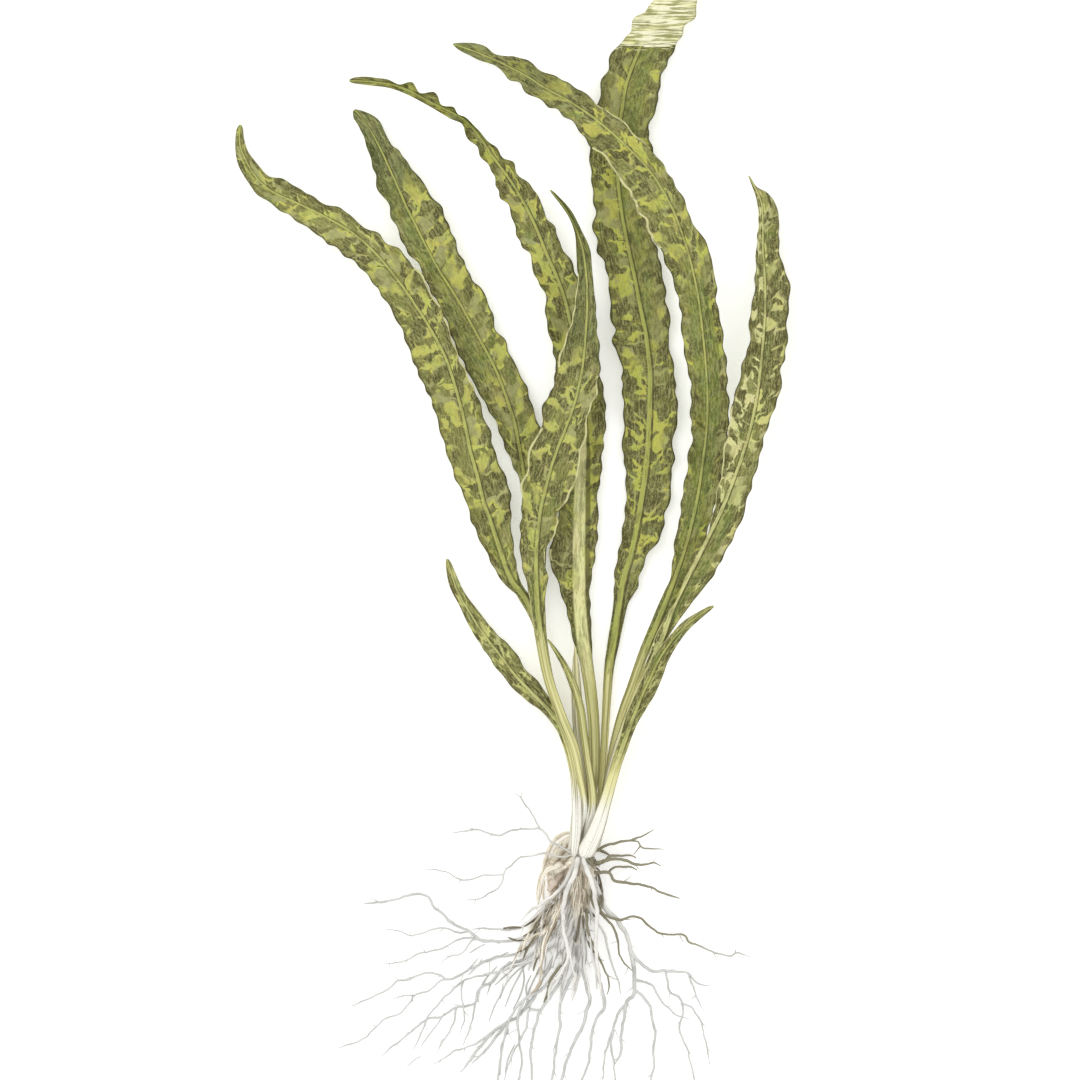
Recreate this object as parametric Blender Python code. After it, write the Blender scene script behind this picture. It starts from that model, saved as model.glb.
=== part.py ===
"""A bare-rooted cryptocoryne, lying on its back on a table.

+Z is up from the table at z = 0, +Y runs from the roots to the leaf tips and +X to the right.
Routes are drawn on a squared sheet laid over the plant: x to the right and y down, in squares,
and z in millimetres above the table.
"""
import math

import bmesh
import bpy
import numpy as np
from mathutils import Vector

# Size
SQUARE = 0.00036          # side of one square of the sheet, in metres
MM = 0.001
SHEET_X = 512.0           # the square above the origin
SHEET_Y = 518.0

# Leaves
RING = 8                  # corners round a leaf's section
STATION = 22.0            # squares between sections of a grown leaf
SMALL_STATION = 13.2      # and of a small one
GROWN = 400.0             # squares: a leaf longer than this is grown
WIDEST = 40.0             # no margin is farther than this from the rib, squares
TIP_TAPER = 0.6           # how a section narrows past the end of its margin
STALK_THICK = 1.15        # half thickness of a round stalk, mm
RIB_THICK = 0.75          # half thickness of the midrib in the blade, mm
BLADE_THICK = 0.32        # half thickness of the blade beside the rib, mm
STALK_SHOULDER = (0.72, 0.8)   # corner between edge and back of a stalk: out and up, of the half sizes
BLADE_SHOULDER = 0.5      # how far out the blade's corner beside the rib is, of the half width
BLADE_FROM = 5.0          # half width in squares where the stalk begins to flatten
BLADE_FULL = 13.0         # half width in squares where the blade is thin
RISE = 0.20               # how far the margins stand above the rib, for each half width
WAVE = 1.1                # height of the margin's slow waves, mm
WAVE_LENGTH = 150.0       # squares from one wave to the next

# Roots
GAP = 0.35                # clear space between pieces that cross, mm
CELL = 1.0                # squares in a cell of the height map
MAP_FROM = (300, 780)     # its first square
MAP_CELLS = (480, 340)
DRAPE_STEP = 2.0          # squares between the points where a root's height is found
ROOT_STEP = 18.0          # squares between a root's corners
SLOPE = 0.16              # steepest fall of a root that comes off a crossing, mm for each square
FALL = 34.0               # squares over which a root comes down from the crown
ON_TABLE = 0.05           # space between the table and what lies on it, mm
WELD = 0.00002            # corners closer than this are one, metres

# Each leaf: its stalk as (x, y, z, half width), its midrib as (x, y, z, rise of the margins),
# and the two margins, all from the foot to the tip.
LEAVES = {
    "leaf_far_left": {
        "stalk": [(567.5, 852, 4.3, 3.3), (569.5, 830, 5.0, 3.4), (572, 800, 6.2, 3.6),
                  (571, 770, 5.6, 3.8), (566, 745, 5.3, 3.8), (556, 705, 5.3, 3.8), (545, 660, 5.8, 3.8),
                  (536, 622, 6.2, 4.2), (523, 595, 6.2, 6.0)],
        "rib": [(511, 580, 6.2, 0), (500, 550, 6.3, 0), (490, 520, 6.5, 0), (483, 500, 7.0, 0),
                (477, 475, 7.5, 0), (470, 450, 8.0, 0), (465, 425, 8.5, 0), (459, 400, 9.0, 0),
                (451, 373, 9.5, 0), (442, 350, 9.8, 0), (425, 320, 10.0, 0), (405, 290, 9.8, 0),
                (385, 264, 9.2, 0), (365, 243, 8.4, 0), (345, 228, 7.4, 0), (320, 214, 6.0, 0),
                (295, 202, 4.6, 0), (270, 190, 3.4, 0), (253, 173, 2.4, 0), (241, 150, 1.6, 0),
                (239, 135, 1.4, 0), (240, 124, 1.3, 0)],
        "left": [(501, 580), (485, 550), (471, 520), (466, 500), (456, 480), (446, 450), (440, 430),
                 (431, 400), (421, 380), (409, 350), (399, 320), (387, 303), (372, 281), (355, 262),
                 (340, 250), (320, 237), (302, 225), (280, 210), (258, 195), (243, 175), (235, 150),
                 (235, 135), (237, 124)],
        "right": [(520, 580), (514, 550), (511, 520), (510, 490), (500, 465), (494, 450), (490, 430),
                  (483, 415), (479, 400), (470, 380), (456, 350), (444, 320), (432, 297), (422, 272),
                  (402, 249), (380, 234), (353, 218), (330, 205), (310, 194), (287, 180), (265, 173),
                  (252, 157), (247, 148), (243, 135), (243, 124)],
    },
    "leaf_left": {
        "stalk": [(576, 852, 1.5, 3.2), (577, 830, 1.8, 3.3), (577, 800, 2.2, 3.4), (574, 775, 2.4, 3.5),
                  (568, 745, 2.4, 3.6), (559, 715, 2.3, 3.6), (550, 680, 2.2, 3.8), (543, 640, 2.2, 4.2),
                  (540, 600, 2.4, 5.0)],
        "rib": [(539, 570, 2.6, 0), (536, 540, 2.8, 0), (531, 510, 3.0, 0), (525, 480, 3.2, 0),
                (520, 452, 3.0, 0), (515, 425, 3.0, 0), (508, 402, 3.0, 0), (500, 380, 3.2, 0),
                (491, 360, 3.5, 0), (480, 340, 4.0, 0), (468, 318, 4.8, 0), (455, 295, 5.6, 0),
                (440, 272, 6.4, 0), (428, 250, 7.0, 0), (418, 230, 7.4, 0), (408, 210, 7.4, 0),
                (400, 192, 7.0, 0), (391, 172, 6.2, 0), (382, 152, 5.0, 0), (372, 133, 3.6, 0),
                (362, 118, 2.2, 0), (354, 109, 1.2, 0)],
        "left": [(532, 575), (528, 545), (522, 510), (514, 477), (507, 452), (497, 425), (484, 402),
                 (470, 378), (460, 357), (448, 325), (436, 300), (421, 270), (407, 252), (396, 226),
                 (389, 205), (377, 185), (371, 162), (365, 142), (356, 122), (352, 110)],
        "right": [(545, 575), (547, 540), (546, 505), (545, 470), (541, 430), (534, 412), (528, 390),
                  (519, 370), (508, 348), (500, 335), (494, 320), (484, 292), (472, 281), (463, 260),
                  (455, 240), (446, 218), (437, 202), (425, 186), (412, 168), (402, 152), (390, 142),
                  (378, 120), (362, 110), (355, 108)],
    },
    "leaf_arching_left": {
        "stalk": [(577, 852, 4.3, 3.2), (583, 830, 5.0, 3.3), (592, 800, 6.0, 3.6), (596.5, 770, 6.2, 4.0),
                  (596.5, 748, 6.3, 4.2), (595, 720, 6.3, 4.6), (591, 690, 6.0, 5.4), (586, 660, 5.6, 6.6)],
        "rib": [(583, 640, 5.2, 0), (580, 610, 4.5, 0), (579, 570, 4.0, 0), (579, 530, 3.6, 0),
                (580, 490, 3.3, 0), (582, 450, 3.2, 0), (583, 420, 3.3, 0), (581, 385, 3.6, 0),
                (577, 350, 4.0, 0), (571, 325, 4.5, 0), (565, 300, 5.0, 0), (556, 275, 6.0, 0),
                (547, 255, 7.0, 0), (538, 232, 8.0, 0), (530, 215, 9.0, 0.4), (521, 198, 10.0, 0.8),
                (510, 180, 10.8, 1.4), (498, 164, 11.2, 2.0), (488, 150, 11.3, 2.6), (477, 134, 11.0, 3.0),
                (465, 121, 10.4, 3.2), (450, 112, 9.4, 3.2), (430, 102, 7.8, 3.0), (410, 91, 6.0, 2.6),
                (390, 84, 4.2, 1.8), (370, 81, 2.6, 1.0), (349, 80, 1.3, 0.2)],
        "left": [(573, 640), (565, 605), (553, 570), (551, 540), (557, 517), (560, 490), (562, 460),
                 (562, 430), (559, 400), (552, 360), (549, 335), (545, 300), (538, 285), (531, 262),
                 (522, 247), (514, 220), (508, 205), (500, 198), (495, 180), (489, 168), (480, 157),
                 (471, 143), (465, 126), (450, 119), (430, 107), (410, 96), (390, 88), (370, 85),
                 (349, 82)],
        "right": [(592, 640), (591, 600), (594, 565), (598, 530), (598, 490), (603, 450), (606, 420),
                  (604, 390), (599, 372), (596, 340), (590, 300), (578, 277), (564, 250), (556, 230),
                  (546, 215), (540, 197), (528, 181), (516, 170), (505, 157), (495, 147), (482, 134),
                  (470, 120), (455, 108), (438, 97), (415, 86), (388, 79), (370, 76), (352, 77)],
    },
    "leaf_centre_front": {
        "stalk": [(574, 852, 7.2, 3.2), (579.5, 830, 7.8, 3.2), (584, 815, 9.2, 3.1),
                  (584.4, 800, 10.6, 3.1), (578, 772, 12.0, 3.8), (571.5, 745, 13.0, 4.2),
                  (560, 715, 13.4, 4.6), (549, 680, 13.5, 5.0), (542, 645, 13.3, 5.4),
                  (538.5, 618, 13.1, 6.0)],
        "rib": [(537, 600, 13.0, 0), (536, 570, 13.0, 0), (537, 540, 13.1, 0), (541, 508, 13.4, 0),
                (549, 475, 14.0, 0), (557, 450, 14.6, 0), (567, 425, 15.1, 0), (576, 398, 15.6, 0),
                (582, 370, 15.9, 0), (585, 340, 16.0, 0), (587, 305, 16.0, 0.8), (586, 275, 15.6, 2.0),
                (582, 248, 14.2, 2.6), (574, 225, 12.2, 2.2), (563, 206, 9.6, 1.4), (550, 190, 7.0, 0.4)],
        "left": [(530, 600), (524, 575), (521, 550), (522, 510), (524, 480), (531, 445), (541, 425),
                 (545, 402), (554, 385), (558, 360), (567, 335), (573, 310), (577, 285), (577, 255),
                 (572, 228), (561, 207), (549, 190)],
        "right": [(545, 600), (547, 575), (547, 550), (557, 530), (561, 508), (573, 488), (581, 460),
                  (587, 430), (592, 405), (598, 385), (600, 360), (597, 330), (594, 290), (591, 255),
                  (580, 228), (566, 206), (551, 190)],
    },
    "leaf_tall": {
        "stalk": [(596, 852, 4.3, 3.2), (600, 830, 2.8, 3.2), (600.8, 800, 2.2, 3.5),
                  (603.5, 760, 2.6, 3.8), (606, 715, 3.0, 4.0), (609, 670, 3.0, 4.8), (614, 640, 2.6, 6.0)],
        "rib": [(618.5, 608, 2.2, 0), (624, 578, 2.0, 0), (632, 550, 1.8, 0), (638, 520, 1.7, 0),
                (643, 490, 1.7, 0), (647, 460, 1.8, 0), (649, 425, 2.0, 0), (650, 395, 2.2, 0),
                (650, 370, 2.6, 0), (646, 335, 3.2, 0), (640, 305, 3.6, 0), (635, 278, 3.6, 0),
                (629, 250, 3.2, 0), (623, 220, 2.6, 0), (619, 190, 2.2, 0), (617, 160, 1.9, 0),
                (618, 135, 1.8, 0), (622, 110, 1.8, 0), (626, 85, 1.8, 0), (634, 62, 2.0, 0),
                (643, 42, 2.4, 0), (654, 22, 3.0, 0), (667, 0, 3.8, 0), (679, -22, 4.4, 0),
                (690, -42, 4.6, 0), (700, -62, 4.4, 0)],
        "left": [(613, 608), (615, 570), (621, 540), (626, 500), (624, 465), (622, 445), (624, 410),
                 (622, 370), (615, 350), (613, 325), (610, 300), (606, 268), (597, 247), (593, 225),
                 (595, 200), (590, 165), (589, 135), (594, 112), (601, 82), (611, 55), (621, 40), (631, 25),
                 (645, 5), (660, -20), (678, -42), (698, -61)],
        "right": [(627, 608), (640, 575), (652, 548), (664, 520), (671, 493), (675, 458), (676, 435),
                  (678, 412), (675, 378), (670, 345), (669, 310), (664, 282), (657, 252), (650, 225),
                  (649, 195), (654, 160), (649, 130), (656, 105), (662, 76), (673, 50), (685, 26), (696, 8),
                  (701, -18), (705, -42), (702, -61)],
    },
    "leaf_arching_right": {
        "stalk": [(586.5, 852, 4.3, 3.2), (592, 830, 4.9, 3.2), (602, 808, 5.4, 3.3), (608, 775, 6.2, 3.6),
                  (614, 742, 7.2, 3.8), (622, 712, 8.2, 3.9), (632, 685, 8.6, 4.4), (643, 655, 8.4, 5.0),
                  (654, 630, 8.0, 6.0)],
        "rib": [(665, 603, 7.5, 0), (677, 572, 7.0, 0), (688, 538, 6.8, 0), (697, 500, 7.0, 0),
                (703, 460, 8.0, 0), (707, 420, 10.0, 0), (707, 390, 12.0, 0), (705, 360, 14.4, 0),
                (702, 330, 17.0, 0), (698, 300, 19.4, 0), (692, 270, 21.4, 0), (685, 245, 22.4, 0),
                (677, 222, 22.6, 0), (667, 200, 22.0, 0), (653, 177, 20.5, 0), (638, 159, 18.5, 0),
                (622, 143, 16.5, 0), (603, 126, 14.5, 0), (585, 112, 13.0, 0), (565, 99, 11.0, 0),
                (545, 88, 9.0, 0), (525, 75, 7.0, 0), (500, 62, 4.5, 0), (475, 51, 2.4, 0),
                (453, 43, 1.2, 0)],
        "left": [(656, 610), (666, 588), (673, 558), (679, 525), (683, 488), (688, 455), (692, 435),
                 (690, 405), (688, 372), (682, 340), (680, 310), (673, 283), (662, 255), (649, 235),
                 (638, 213), (625, 188), (612, 170), (595, 151), (582, 134), (565, 118), (550, 108),
                 (525, 91), (503, 73), (477, 58), (453, 44)],
        "right": [(669, 612), (683, 592), (692, 572), (705, 540), (715, 505), (722, 475), (727, 445),
                  (729, 410), (727, 380), (723, 342), (717, 308), (714, 275), (706, 243), (692, 222),
                  (682, 198), (670, 178), (652, 152), (630, 130), (607, 112), (586, 95), (560, 78),
                  (530, 62), (500, 55), (478, 46), (455, 42)],
    },
    "leaf_right": {
        "stalk": [(592, 852, 7.3, 3.2), (598, 830, 7.7, 3.2), (604.5, 800, 8.4, 3.4), (611, 768, 9.4, 3.6),
                  (619, 742, 10.0, 3.8), (629.5, 712, 11.0, 4.0), (640.5, 685, 12.0, 4.4),
                  (652, 660, 13.0, 5.0)],
        "rib": [(663, 635, 14.0, 0), (673, 607, 15.0, 0), (686, 580, 16.0, 0), (698, 557, 17.0, 0),
                (710, 533, 18.0, 0), (722, 508, 18.6, 0), (733, 480, 18.6, 0), (742, 455, 18.0, 0),
                (750, 428, 17.0, 0), (756, 400, 15.5, 0), (760, 370, 13.5, 0), (763, 340, 11.5, 0),
                (765, 310, 9.5, 0), (765, 280, 7.5, 0), (763, 250, 5.8, 0), (763, 222, 4.2, 0),
                (761, 200, 2.8, 0), (749, 175, 1.4, 0)],
        "left": [(656, 634), (666, 612), (680, 588), (690, 566), (703, 545), (711, 515), (718, 485),
                 (722, 455), (727, 433), (731, 405), (740, 375), (747, 350), (749, 320), (754, 300),
                 (755, 270), (757, 240), (758, 215), (757, 200), (748, 176)],
        "right": [(671, 632), (690, 606), (708, 584), (722, 558), (740, 522), (750, 490), (760, 455),
                  (768, 425), (780, 392), (784, 362), (787, 330), (790, 292), (784, 268), (779, 235),
                  (778, 212), (771, 197), (757, 186), (750, 175)],
    },
    "leaf_small_right": {
        "stalk": [(586.5, 852, 10.3, 9.5), (596, 830, 11.0, 8.2), (605, 803, 11.8, 6.0),
                  (611, 782, 12.4, 5.4), (617, 762, 12.9, 5.2), (624, 742, 13.3, 5.6)],
        "rib": [(632, 720, 13.9, 0), (642, 695, 15.0, 0), (650, 678, 16.0, 0), (659, 659, 17.2, 0),
                (671, 641, 18.6, 0), (685, 626, 20.0, 0), (700, 614, 21.0, 0), (713, 606, 21.6, 0)],
        "left": [(625, 717), (634, 695), (643, 676), (654, 654), (667, 638), (683, 621), (699, 611),
                 (712, 604)],
        "right": [(638, 722), (653, 697), (661, 680), (667, 663), (676, 646), (688, 630), (702, 617),
                  (714, 607)],
    },
    "leaf_small_left": {
        "stalk": [(570, 852, 9.9, 4.8), (573, 828, 10.7, 6.2), (573.4, 800, 10.9, 5.3),
                  (571, 775, 10.5, 4.6), (567, 752, 9.9, 4.4), (562, 733, 9.5, 4.6)],
        "rib": [(556, 719, 9.2, 0), (545, 706, 8.8, 0), (530, 691, 8.0, 0), (514, 674, 7.0, 0),
                (499, 654, 6.0, 0), (482, 632, 4.8, 0), (468, 610, 3.6, 0), (456, 588, 2.6, 0),
                (447, 559, 1.6, 0)],
        "left": [(551, 722), (540, 710), (522, 697), (505, 679), (488, 656), (470, 628), (460, 607),
                 (449, 585), (445, 560)],
        "right": [(559, 715), (553, 704), (540, 684), (523, 666), (515, 651), (496, 633), (476, 608),
                  (463, 590), (450, 560)],
    },
    "leaf_young": {
        "stalk": [(583, 852, 7.3, 2.8), (588, 830, 7.9, 2.8), (591.5, 812, 8.9, 2.8),
                  (592.5, 795, 9.7, 2.8), (591.5, 765, 11.0, 2.9), (588, 735, 12.4, 3.2),
                  (583, 710, 13.8, 3.6), (575, 688, 15.2, 4.0), (566, 668, 16.6, 3.4),
                  (556, 651, 17.9, 2.2), (547.5, 639, 18.8, 0.9)],
        "rib": [],
        "left": [],
        "right": [],
    },
    "sheath_old": {
        "stalk": [(586, 852, 1.5, 3.2), (585, 812, 2.4, 3.3), (581.5, 775, 3.2, 3.4), (575, 730, 4.2, 3.4),
                  (572, 690, 5.0, 3.2), (571.5, 655, 5.6, 1.6)],
        "rib": [],
        "left": [],
        "right": [],
    },
}
# how flat each all-stalk leaf is pressed: half thickness for each half width
PRESSED = {"leaf_young": 0.95, "sheath_old": 0.55}
LEAF_COLOURS = {
    "leaf_far_left": (0.22, 0.25, 0.06),
    "leaf_left": (0.17, 0.21, 0.06),
    "leaf_arching_left": (0.24, 0.27, 0.07),
    "leaf_centre_front": (0.21, 0.25, 0.07),
    "leaf_tall": (0.20, 0.25, 0.07),
    "leaf_arching_right": (0.19, 0.25, 0.06),
    "leaf_right": (0.30, 0.31, 0.14),
    "leaf_small_right": (0.24, 0.26, 0.09),
    "leaf_small_left": (0.23, 0.25, 0.09),
    "leaf_young": (0.33, 0.33, 0.10),
    "sheath_old": (0.68, 0.66, 0.48),
}

# The crown: along its length from the leaves to the old end, (x, y, z of its middle, radius in mm)
CROWN = [(581.5, 854.5, 6.0, 4.9), (581.5, 862, 6.0, 5.6), (581, 872, 5.9, 5.7), (581, 882, 5.6, 5.2),
         (580.5, 892, 5.2, 4.6), (580.5, 902, 4.8, 3.8), (580, 914, 4.3, 3.0), (579, 926, 3.6, 2.3),
         (578, 938, 3.0, 1.7), (577, 948, 2.4, 1.0)]
CROWN_SIDES = 14
CROWN_RIDGE = 0.03        # height of its ridges, of its radius

# Each root: how high it leaves the crown (mm), then its runs as
# (radius at the start, radius at the end, corners of the sheet); the first run is the main root.
# The roots are laid in this order, each one over those that it crosses.
ROOTS = {
    "root_left_long": (4.0, [
        (0.85, 0.55, [(564, 898), (551, 915), (536, 929), (515, 941), (497, 942), (480, 940), (469, 932),
                      (458, 927), (449, 922), (442, 914), (434, 907), (429, 899), (422, 895), (410, 896),
                      (397, 899), (386, 902), (364, 904)]),
        (0.5, 0.3, [(469, 932), (457, 933), (444, 929), (430, 931), (420, 934), (409, 936), (397, 931),
                    (385, 930)]),
        (0.5, 0.3, [(480, 940), (466, 938), (453, 943), (440, 950), (427, 953), (415, 955), (404, 962),
                    (383, 965)]),
        (0.45, 0.3, [(487, 941), (474, 940), (466, 949), (459, 955), (449, 958), (440, 964)]),
    ]),
    "root_left_upper": (3.0, [
        (0.8, 0.5, [(562, 889), (547, 903), (532, 919), (520, 929), (504, 930), (486, 929), (472, 930)]),
    ]),
    "root_left_mid": (3.2, [
        (0.9, 0.35, [(565, 908), (546, 931), (522, 952), (495, 958), (470, 970), (450, 980), (439, 975),
                     (421, 975), (409, 980), (396, 982), (389, 989), (368, 1000), (350, 1007)]),
        (0.45, 0.35, [(450, 980), (440, 982), (430, 991), (413, 996), (410, 1003), (400, 1014), (385, 1020),
                      (372, 1031), (359, 1042), (338, 1049)]),
        (0.4, 0.3, [(413, 996), (403, 997), (392, 1000)]),
    ]),
    "root_left_low": (3.0, [
        (0.95, 0.4, [(566, 917), (550, 940), (528, 958), (505, 967), (492, 982), (479, 990), (475, 1004),
                     (460, 1007), (449, 1012), (440, 1018), (428, 1020), (412, 1031), (398, 1043),
                     (381, 1057)]),
        (0.5, 0.35, [(475, 1004), (473, 1018), (469, 1030), (463, 1046)]),
        (0.5, 0.35, [(456, 1009), (452, 1028), (441, 1044), (437, 1054)]),
    ]),
    "root_left_inner": (2.6, [
        (0.8, 0.4, [(567, 926), (551, 948), (522, 965), (490, 974), (463, 982), (450, 993), (440, 1002),
                    (430, 1015), (424, 1027), (419, 1038), (413, 1050)]),
        (0.5, 0.35, [(463, 982), (461, 995), (464, 1015), (460, 1036)]),
    ]),
    "root_left_thick": (3.4, [
        (1.25, 0.6, [(567, 936), (554, 958), (543, 979), (530, 1003), (518, 1017), (506, 1024), (491, 1034),
                     (478, 1050), (470, 1062), (460, 1073)]),
        (0.8, 0.5, [(506, 1024), (497, 1037), (485, 1051), (472, 1065)]),
        (0.6, 0.35, [(491, 1034), (474, 1045), (455, 1052), (445, 1059), (433, 1065)]),
    ]),
    "root_low_far_left": (2.6, [
        (0.95, 0.5, [(568, 947), (558, 968), (543, 989), (524, 1000), (512, 1014), (507, 1030), (502, 1045),
                     (500, 1060), (498, 1078), (496, 1094)]),
        (0.7, 0.45, [(524, 1000), (518, 1018), (519, 1039), (521, 1058), (521, 1072), (517, 1090)]),
    ]),
    "root_low_left": (2.4, [
        (1.0, 0.5, [(572, 957), (564, 976), (551, 996), (541, 1011), (536, 1026), (531, 1043), (531, 1058),
                    (532, 1078), (531, 1096)]),
        (0.7, 0.4, [(541, 1011), (528, 1012), (526, 1030), (515, 1050), (508, 1066), (504, 1082)]),
    ]),
    "root_low_mid_left": (2.2, [
        (1.0, 0.5, [(578, 960), (570, 982), (560, 1004), (560, 1025), (557, 1045), (554, 1062), (552, 1080),
                    (550, 1098)]),
    ]),
    "root_low_middle": (2.4, [
        (1.3, 0.6, [(585, 952), (583, 970), (587, 988), (590, 1001), (585, 1018), (580, 1032), (573, 1046),
                    (567, 1062), (562, 1078), (556, 1096)]),
    ]),
    "root_low_mid_right": (2.6, [
        (1.2, 0.5, [(589, 938), (595, 962), (601, 984), (604, 1008), (596, 1020), (592, 1036), (590, 1054),
                    (586, 1070), (581, 1086), (577, 1100)]),
    ]),
    "root_right_thick": (5.0, [
        (1.5, 0.6, [(599, 893), (606, 908), (616, 920), (627, 936), (631, 952), (634, 968), (634, 985),
                    (633, 997), (627, 1004), (624, 1020), (621, 1036), (621, 1054), (615, 1065)]),
        (1.0, 0.35, [(631, 952), (641, 964), (652, 971), (666, 972), (678, 973), (688, 973), (698, 984),
                     (712, 987)]),
        (0.5, 0.35, [(688, 973), (693, 988), (699, 1001), (704, 1012)]),
        (0.6, 0.35, [(666, 972), (670, 992), (680, 999), (683, 1014), (680, 1029), (685, 1045), (690, 1060),
                     (694, 1078), (697, 1092)]),
        (0.5, 0.35, [(681, 1004), (693, 1009), (700, 1021), (704, 1036), (708, 1050), (710, 1066)]),
        (0.7, 0.35, [(634, 980), (651, 986), (660, 999), (674, 1014), (690, 1020)]),
        (0.8, 0.45, [(634, 990), (648, 1003), (652, 1020), (656, 1035), (653, 1052), (654, 1066),
                     (651, 1083), (649, 1098)]),
        (0.7, 0.4, [(627, 1004), (619, 1013), (613, 1030), (612, 1050), (614, 1068), (615, 1088)]),
        (0.5, 0.4, [(613, 1030), (607, 1048), (604, 1066), (602, 1086)]),
    ]),
    "root_right_inner": (3.0, [
        (0.8, 0.35, [(592, 918), (605, 935), (608, 950), (613, 967), (618, 982), (621, 995)]),
    ]),
    "root_right_dark": (3.6, [
        (0.9, 0.4, [(596, 909), (610, 923), (617, 937), (620, 955), (626, 965), (633, 972)]),
    ]),
    "root_under_dark": (2.0, [
        (0.9, 0.4, [(588, 932), (597, 953), (603, 966), (609, 980), (607, 995)]),
    ]),
    "root_right_long": (4.4, [
        (0.85, 0.35, [(597, 901), (604, 914), (618, 919), (636, 917), (648, 925), (662, 934), (684, 936),
                      (690, 943), (711, 951), (729, 957), (739, 954), (751, 958)]),
    ]),
    "root_right_fork": (4.6, [
        (0.95, 0.5, [(599, 873), (610, 873), (615, 880), (632, 884), (649, 887), (662, 893), (680, 899)]),
        (0.7, 0.45, [(608, 873), (615, 868), (630, 867), (637, 871)]),
    ]),
    "root_right_knot": (6.0, [
        (1.1, 0.5, [(600, 862), (612, 859), (626, 861), (641, 865), (653, 863), (661, 866)]),
        (0.8, 0.5, [(606, 861), (611, 856), (631, 856), (636, 859)]),
    ]),
    "root_right_top": (7.0, [
        (0.9, 0.4, [(604, 846), (616, 843), (629, 841), (642, 836), (654, 830)]),
        (0.45, 0.3, [(629, 841), (638, 842), (643, 848), (664, 850)]),
        (0.4, 0.3, [(641, 846), (634, 855)]),
    ]),
    "root_left_top": (6.0, [
        (0.6, 0.35, [(561, 857), (545, 854), (530, 856), (519, 858), (511, 866), (505, 872), (500, 887),
                     (489, 894), (478, 899), (465, 901)]),
        (0.45, 0.3, [(504, 875), (485, 876), (474, 879), (462, 881), (452, 876), (444, 871), (425, 870)]),
    ]),
    "root_left_arch": (7.0, [
        (0.7, 0.4, [(561, 847), (549, 840), (540, 829), (525, 829), (512, 831), (500, 836), (489, 834),
                    (477, 830), (453, 833)]),
        (0.5, 0.3, [(540, 829), (533, 817), (526, 807), (522, 799), (514, 793)]),
    ]),
    "root_tuft": (5.0, [
        (1.1, 0.5, [(562, 868), (551, 867), (543, 876), (541, 890), (538, 899)]),
        (0.9, 0.5, [(551, 867), (554, 880), (549, 893)]),
    ]),
    "root_pale_crossing": (7.5, [
        (1.3, 0.7, [(572, 869), (564, 884), (553, 895), (541, 903), (531, 911), (522, 920)]),
    ]),
    "root_brown": (6.5, [
        (1.6, 0.8, [(565, 900), (558, 914), (552, 928), (546, 943), (542, 958), (541, 974), (538, 986),
                    (531, 994)]),
        (1.0, 0.6, [(552, 928), (541, 934), (531, 938), (521, 947), (515, 960), (510, 973)]),
    ]),
    "root_pale_left": (8.0, [
        (1.7, 0.8, [(575, 872), (568, 888), (563, 904), (563, 922), (566, 940), (568, 957), (560, 973),
                    (551, 986), (548, 1003)]),
        (1.0, 0.6, [(566, 940), (572, 962), (574, 980), (571, 998)]),
    ]),
    "root_pale_right": (9.0, [
        (1.7, 0.9, [(586, 868), (592, 884), (596, 902), (597, 920), (595, 940), (597, 958), (599, 976),
                    (601, 996)]),
    ]),
}
PALE = (0.62, 0.60, 0.52)
GREY = (0.47, 0.47, 0.43)
OLIVE = (0.20, 0.18, 0.10)
BROWN = (0.33, 0.27, 0.17)
ROOT_COLOURS = {
    "root_right_dark": OLIVE, "root_right_long": OLIVE, "root_right_fork": OLIVE, "root_right_knot": OLIVE,
    "root_under_dark": OLIVE, "root_right_top": OLIVE, "root_brown": BROWN, "root_pale_left": PALE,
    "root_pale_right": PALE, "root_pale_crossing": PALE, "root_tuft": PALE,
}


def sheet(x, y, z):
    """A point of the sheet, in metres."""
    return Vector(((x - SHEET_X) * SQUARE, (SHEET_Y - y) * SQUARE, z * MM))


def smooth_step(low, high, value):
    """0 below low, 1 above high, and a smooth rise between."""
    t = min(1.0, max(0.0, (value - low) / (high - low)))
    return t * t * (3.0 - 2.0 * t)


def resample(points, count):
    """A smooth curve through the points, cut into equal steps of its length on the sheet."""
    p = np.array(points, dtype=float)
    dense = []
    for i in range(len(p) - 1):
        a = p[max(i - 1, 0)]
        b = p[i]
        c = p[i + 1]
        d = p[min(i + 2, len(p) - 1)]
        for t in np.linspace(0.0, 1.0, 12, endpoint=False):
            curve = 2 * b + (c - a) * t + (2 * a - 5 * b + 4 * c - d) * t ** 2
            dense.append(0.5 * (curve + (3 * b - a - 3 * c + d) * t ** 3))
    dense.append(p[-1])
    dense = np.array(dense)
    length = np.concatenate([[0.0], np.cumsum(np.hypot(*np.diff(dense[:, :2], axis=0).T))])
    at = np.linspace(0.0, length[-1], count)
    return np.stack([np.interp(at, length, dense[:, k]) for k in range(p.shape[1])], axis=1), length[-1]


def run_length(points):
    """Length of a route on the sheet, in squares."""
    p = np.array(points, dtype=float)[:, :2]
    return float(np.hypot(*np.diff(p, axis=0).T).sum())


def reach(point, normal, margin):
    """Squares from a point of the rib to the margin, straight across the leaf."""
    best = None
    for (ax, ay), (bx, by) in zip(margin[:-1], margin[1:]):
        ex = bx - ax
        ey = by - ay
        det = normal[0] * -ey + normal[1] * ex
        if abs(det) < 1e-9:
            continue
        dx = ax - point[0]
        dy = ay - point[1]
        along = (dx * -ey + dy * ex) / det
        on = (normal[0] * dy - normal[1] * dx) / det
        if along > 0 and -0.001 <= on <= 1.001 and (best is None or along < best):
            best = along
    return best


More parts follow.
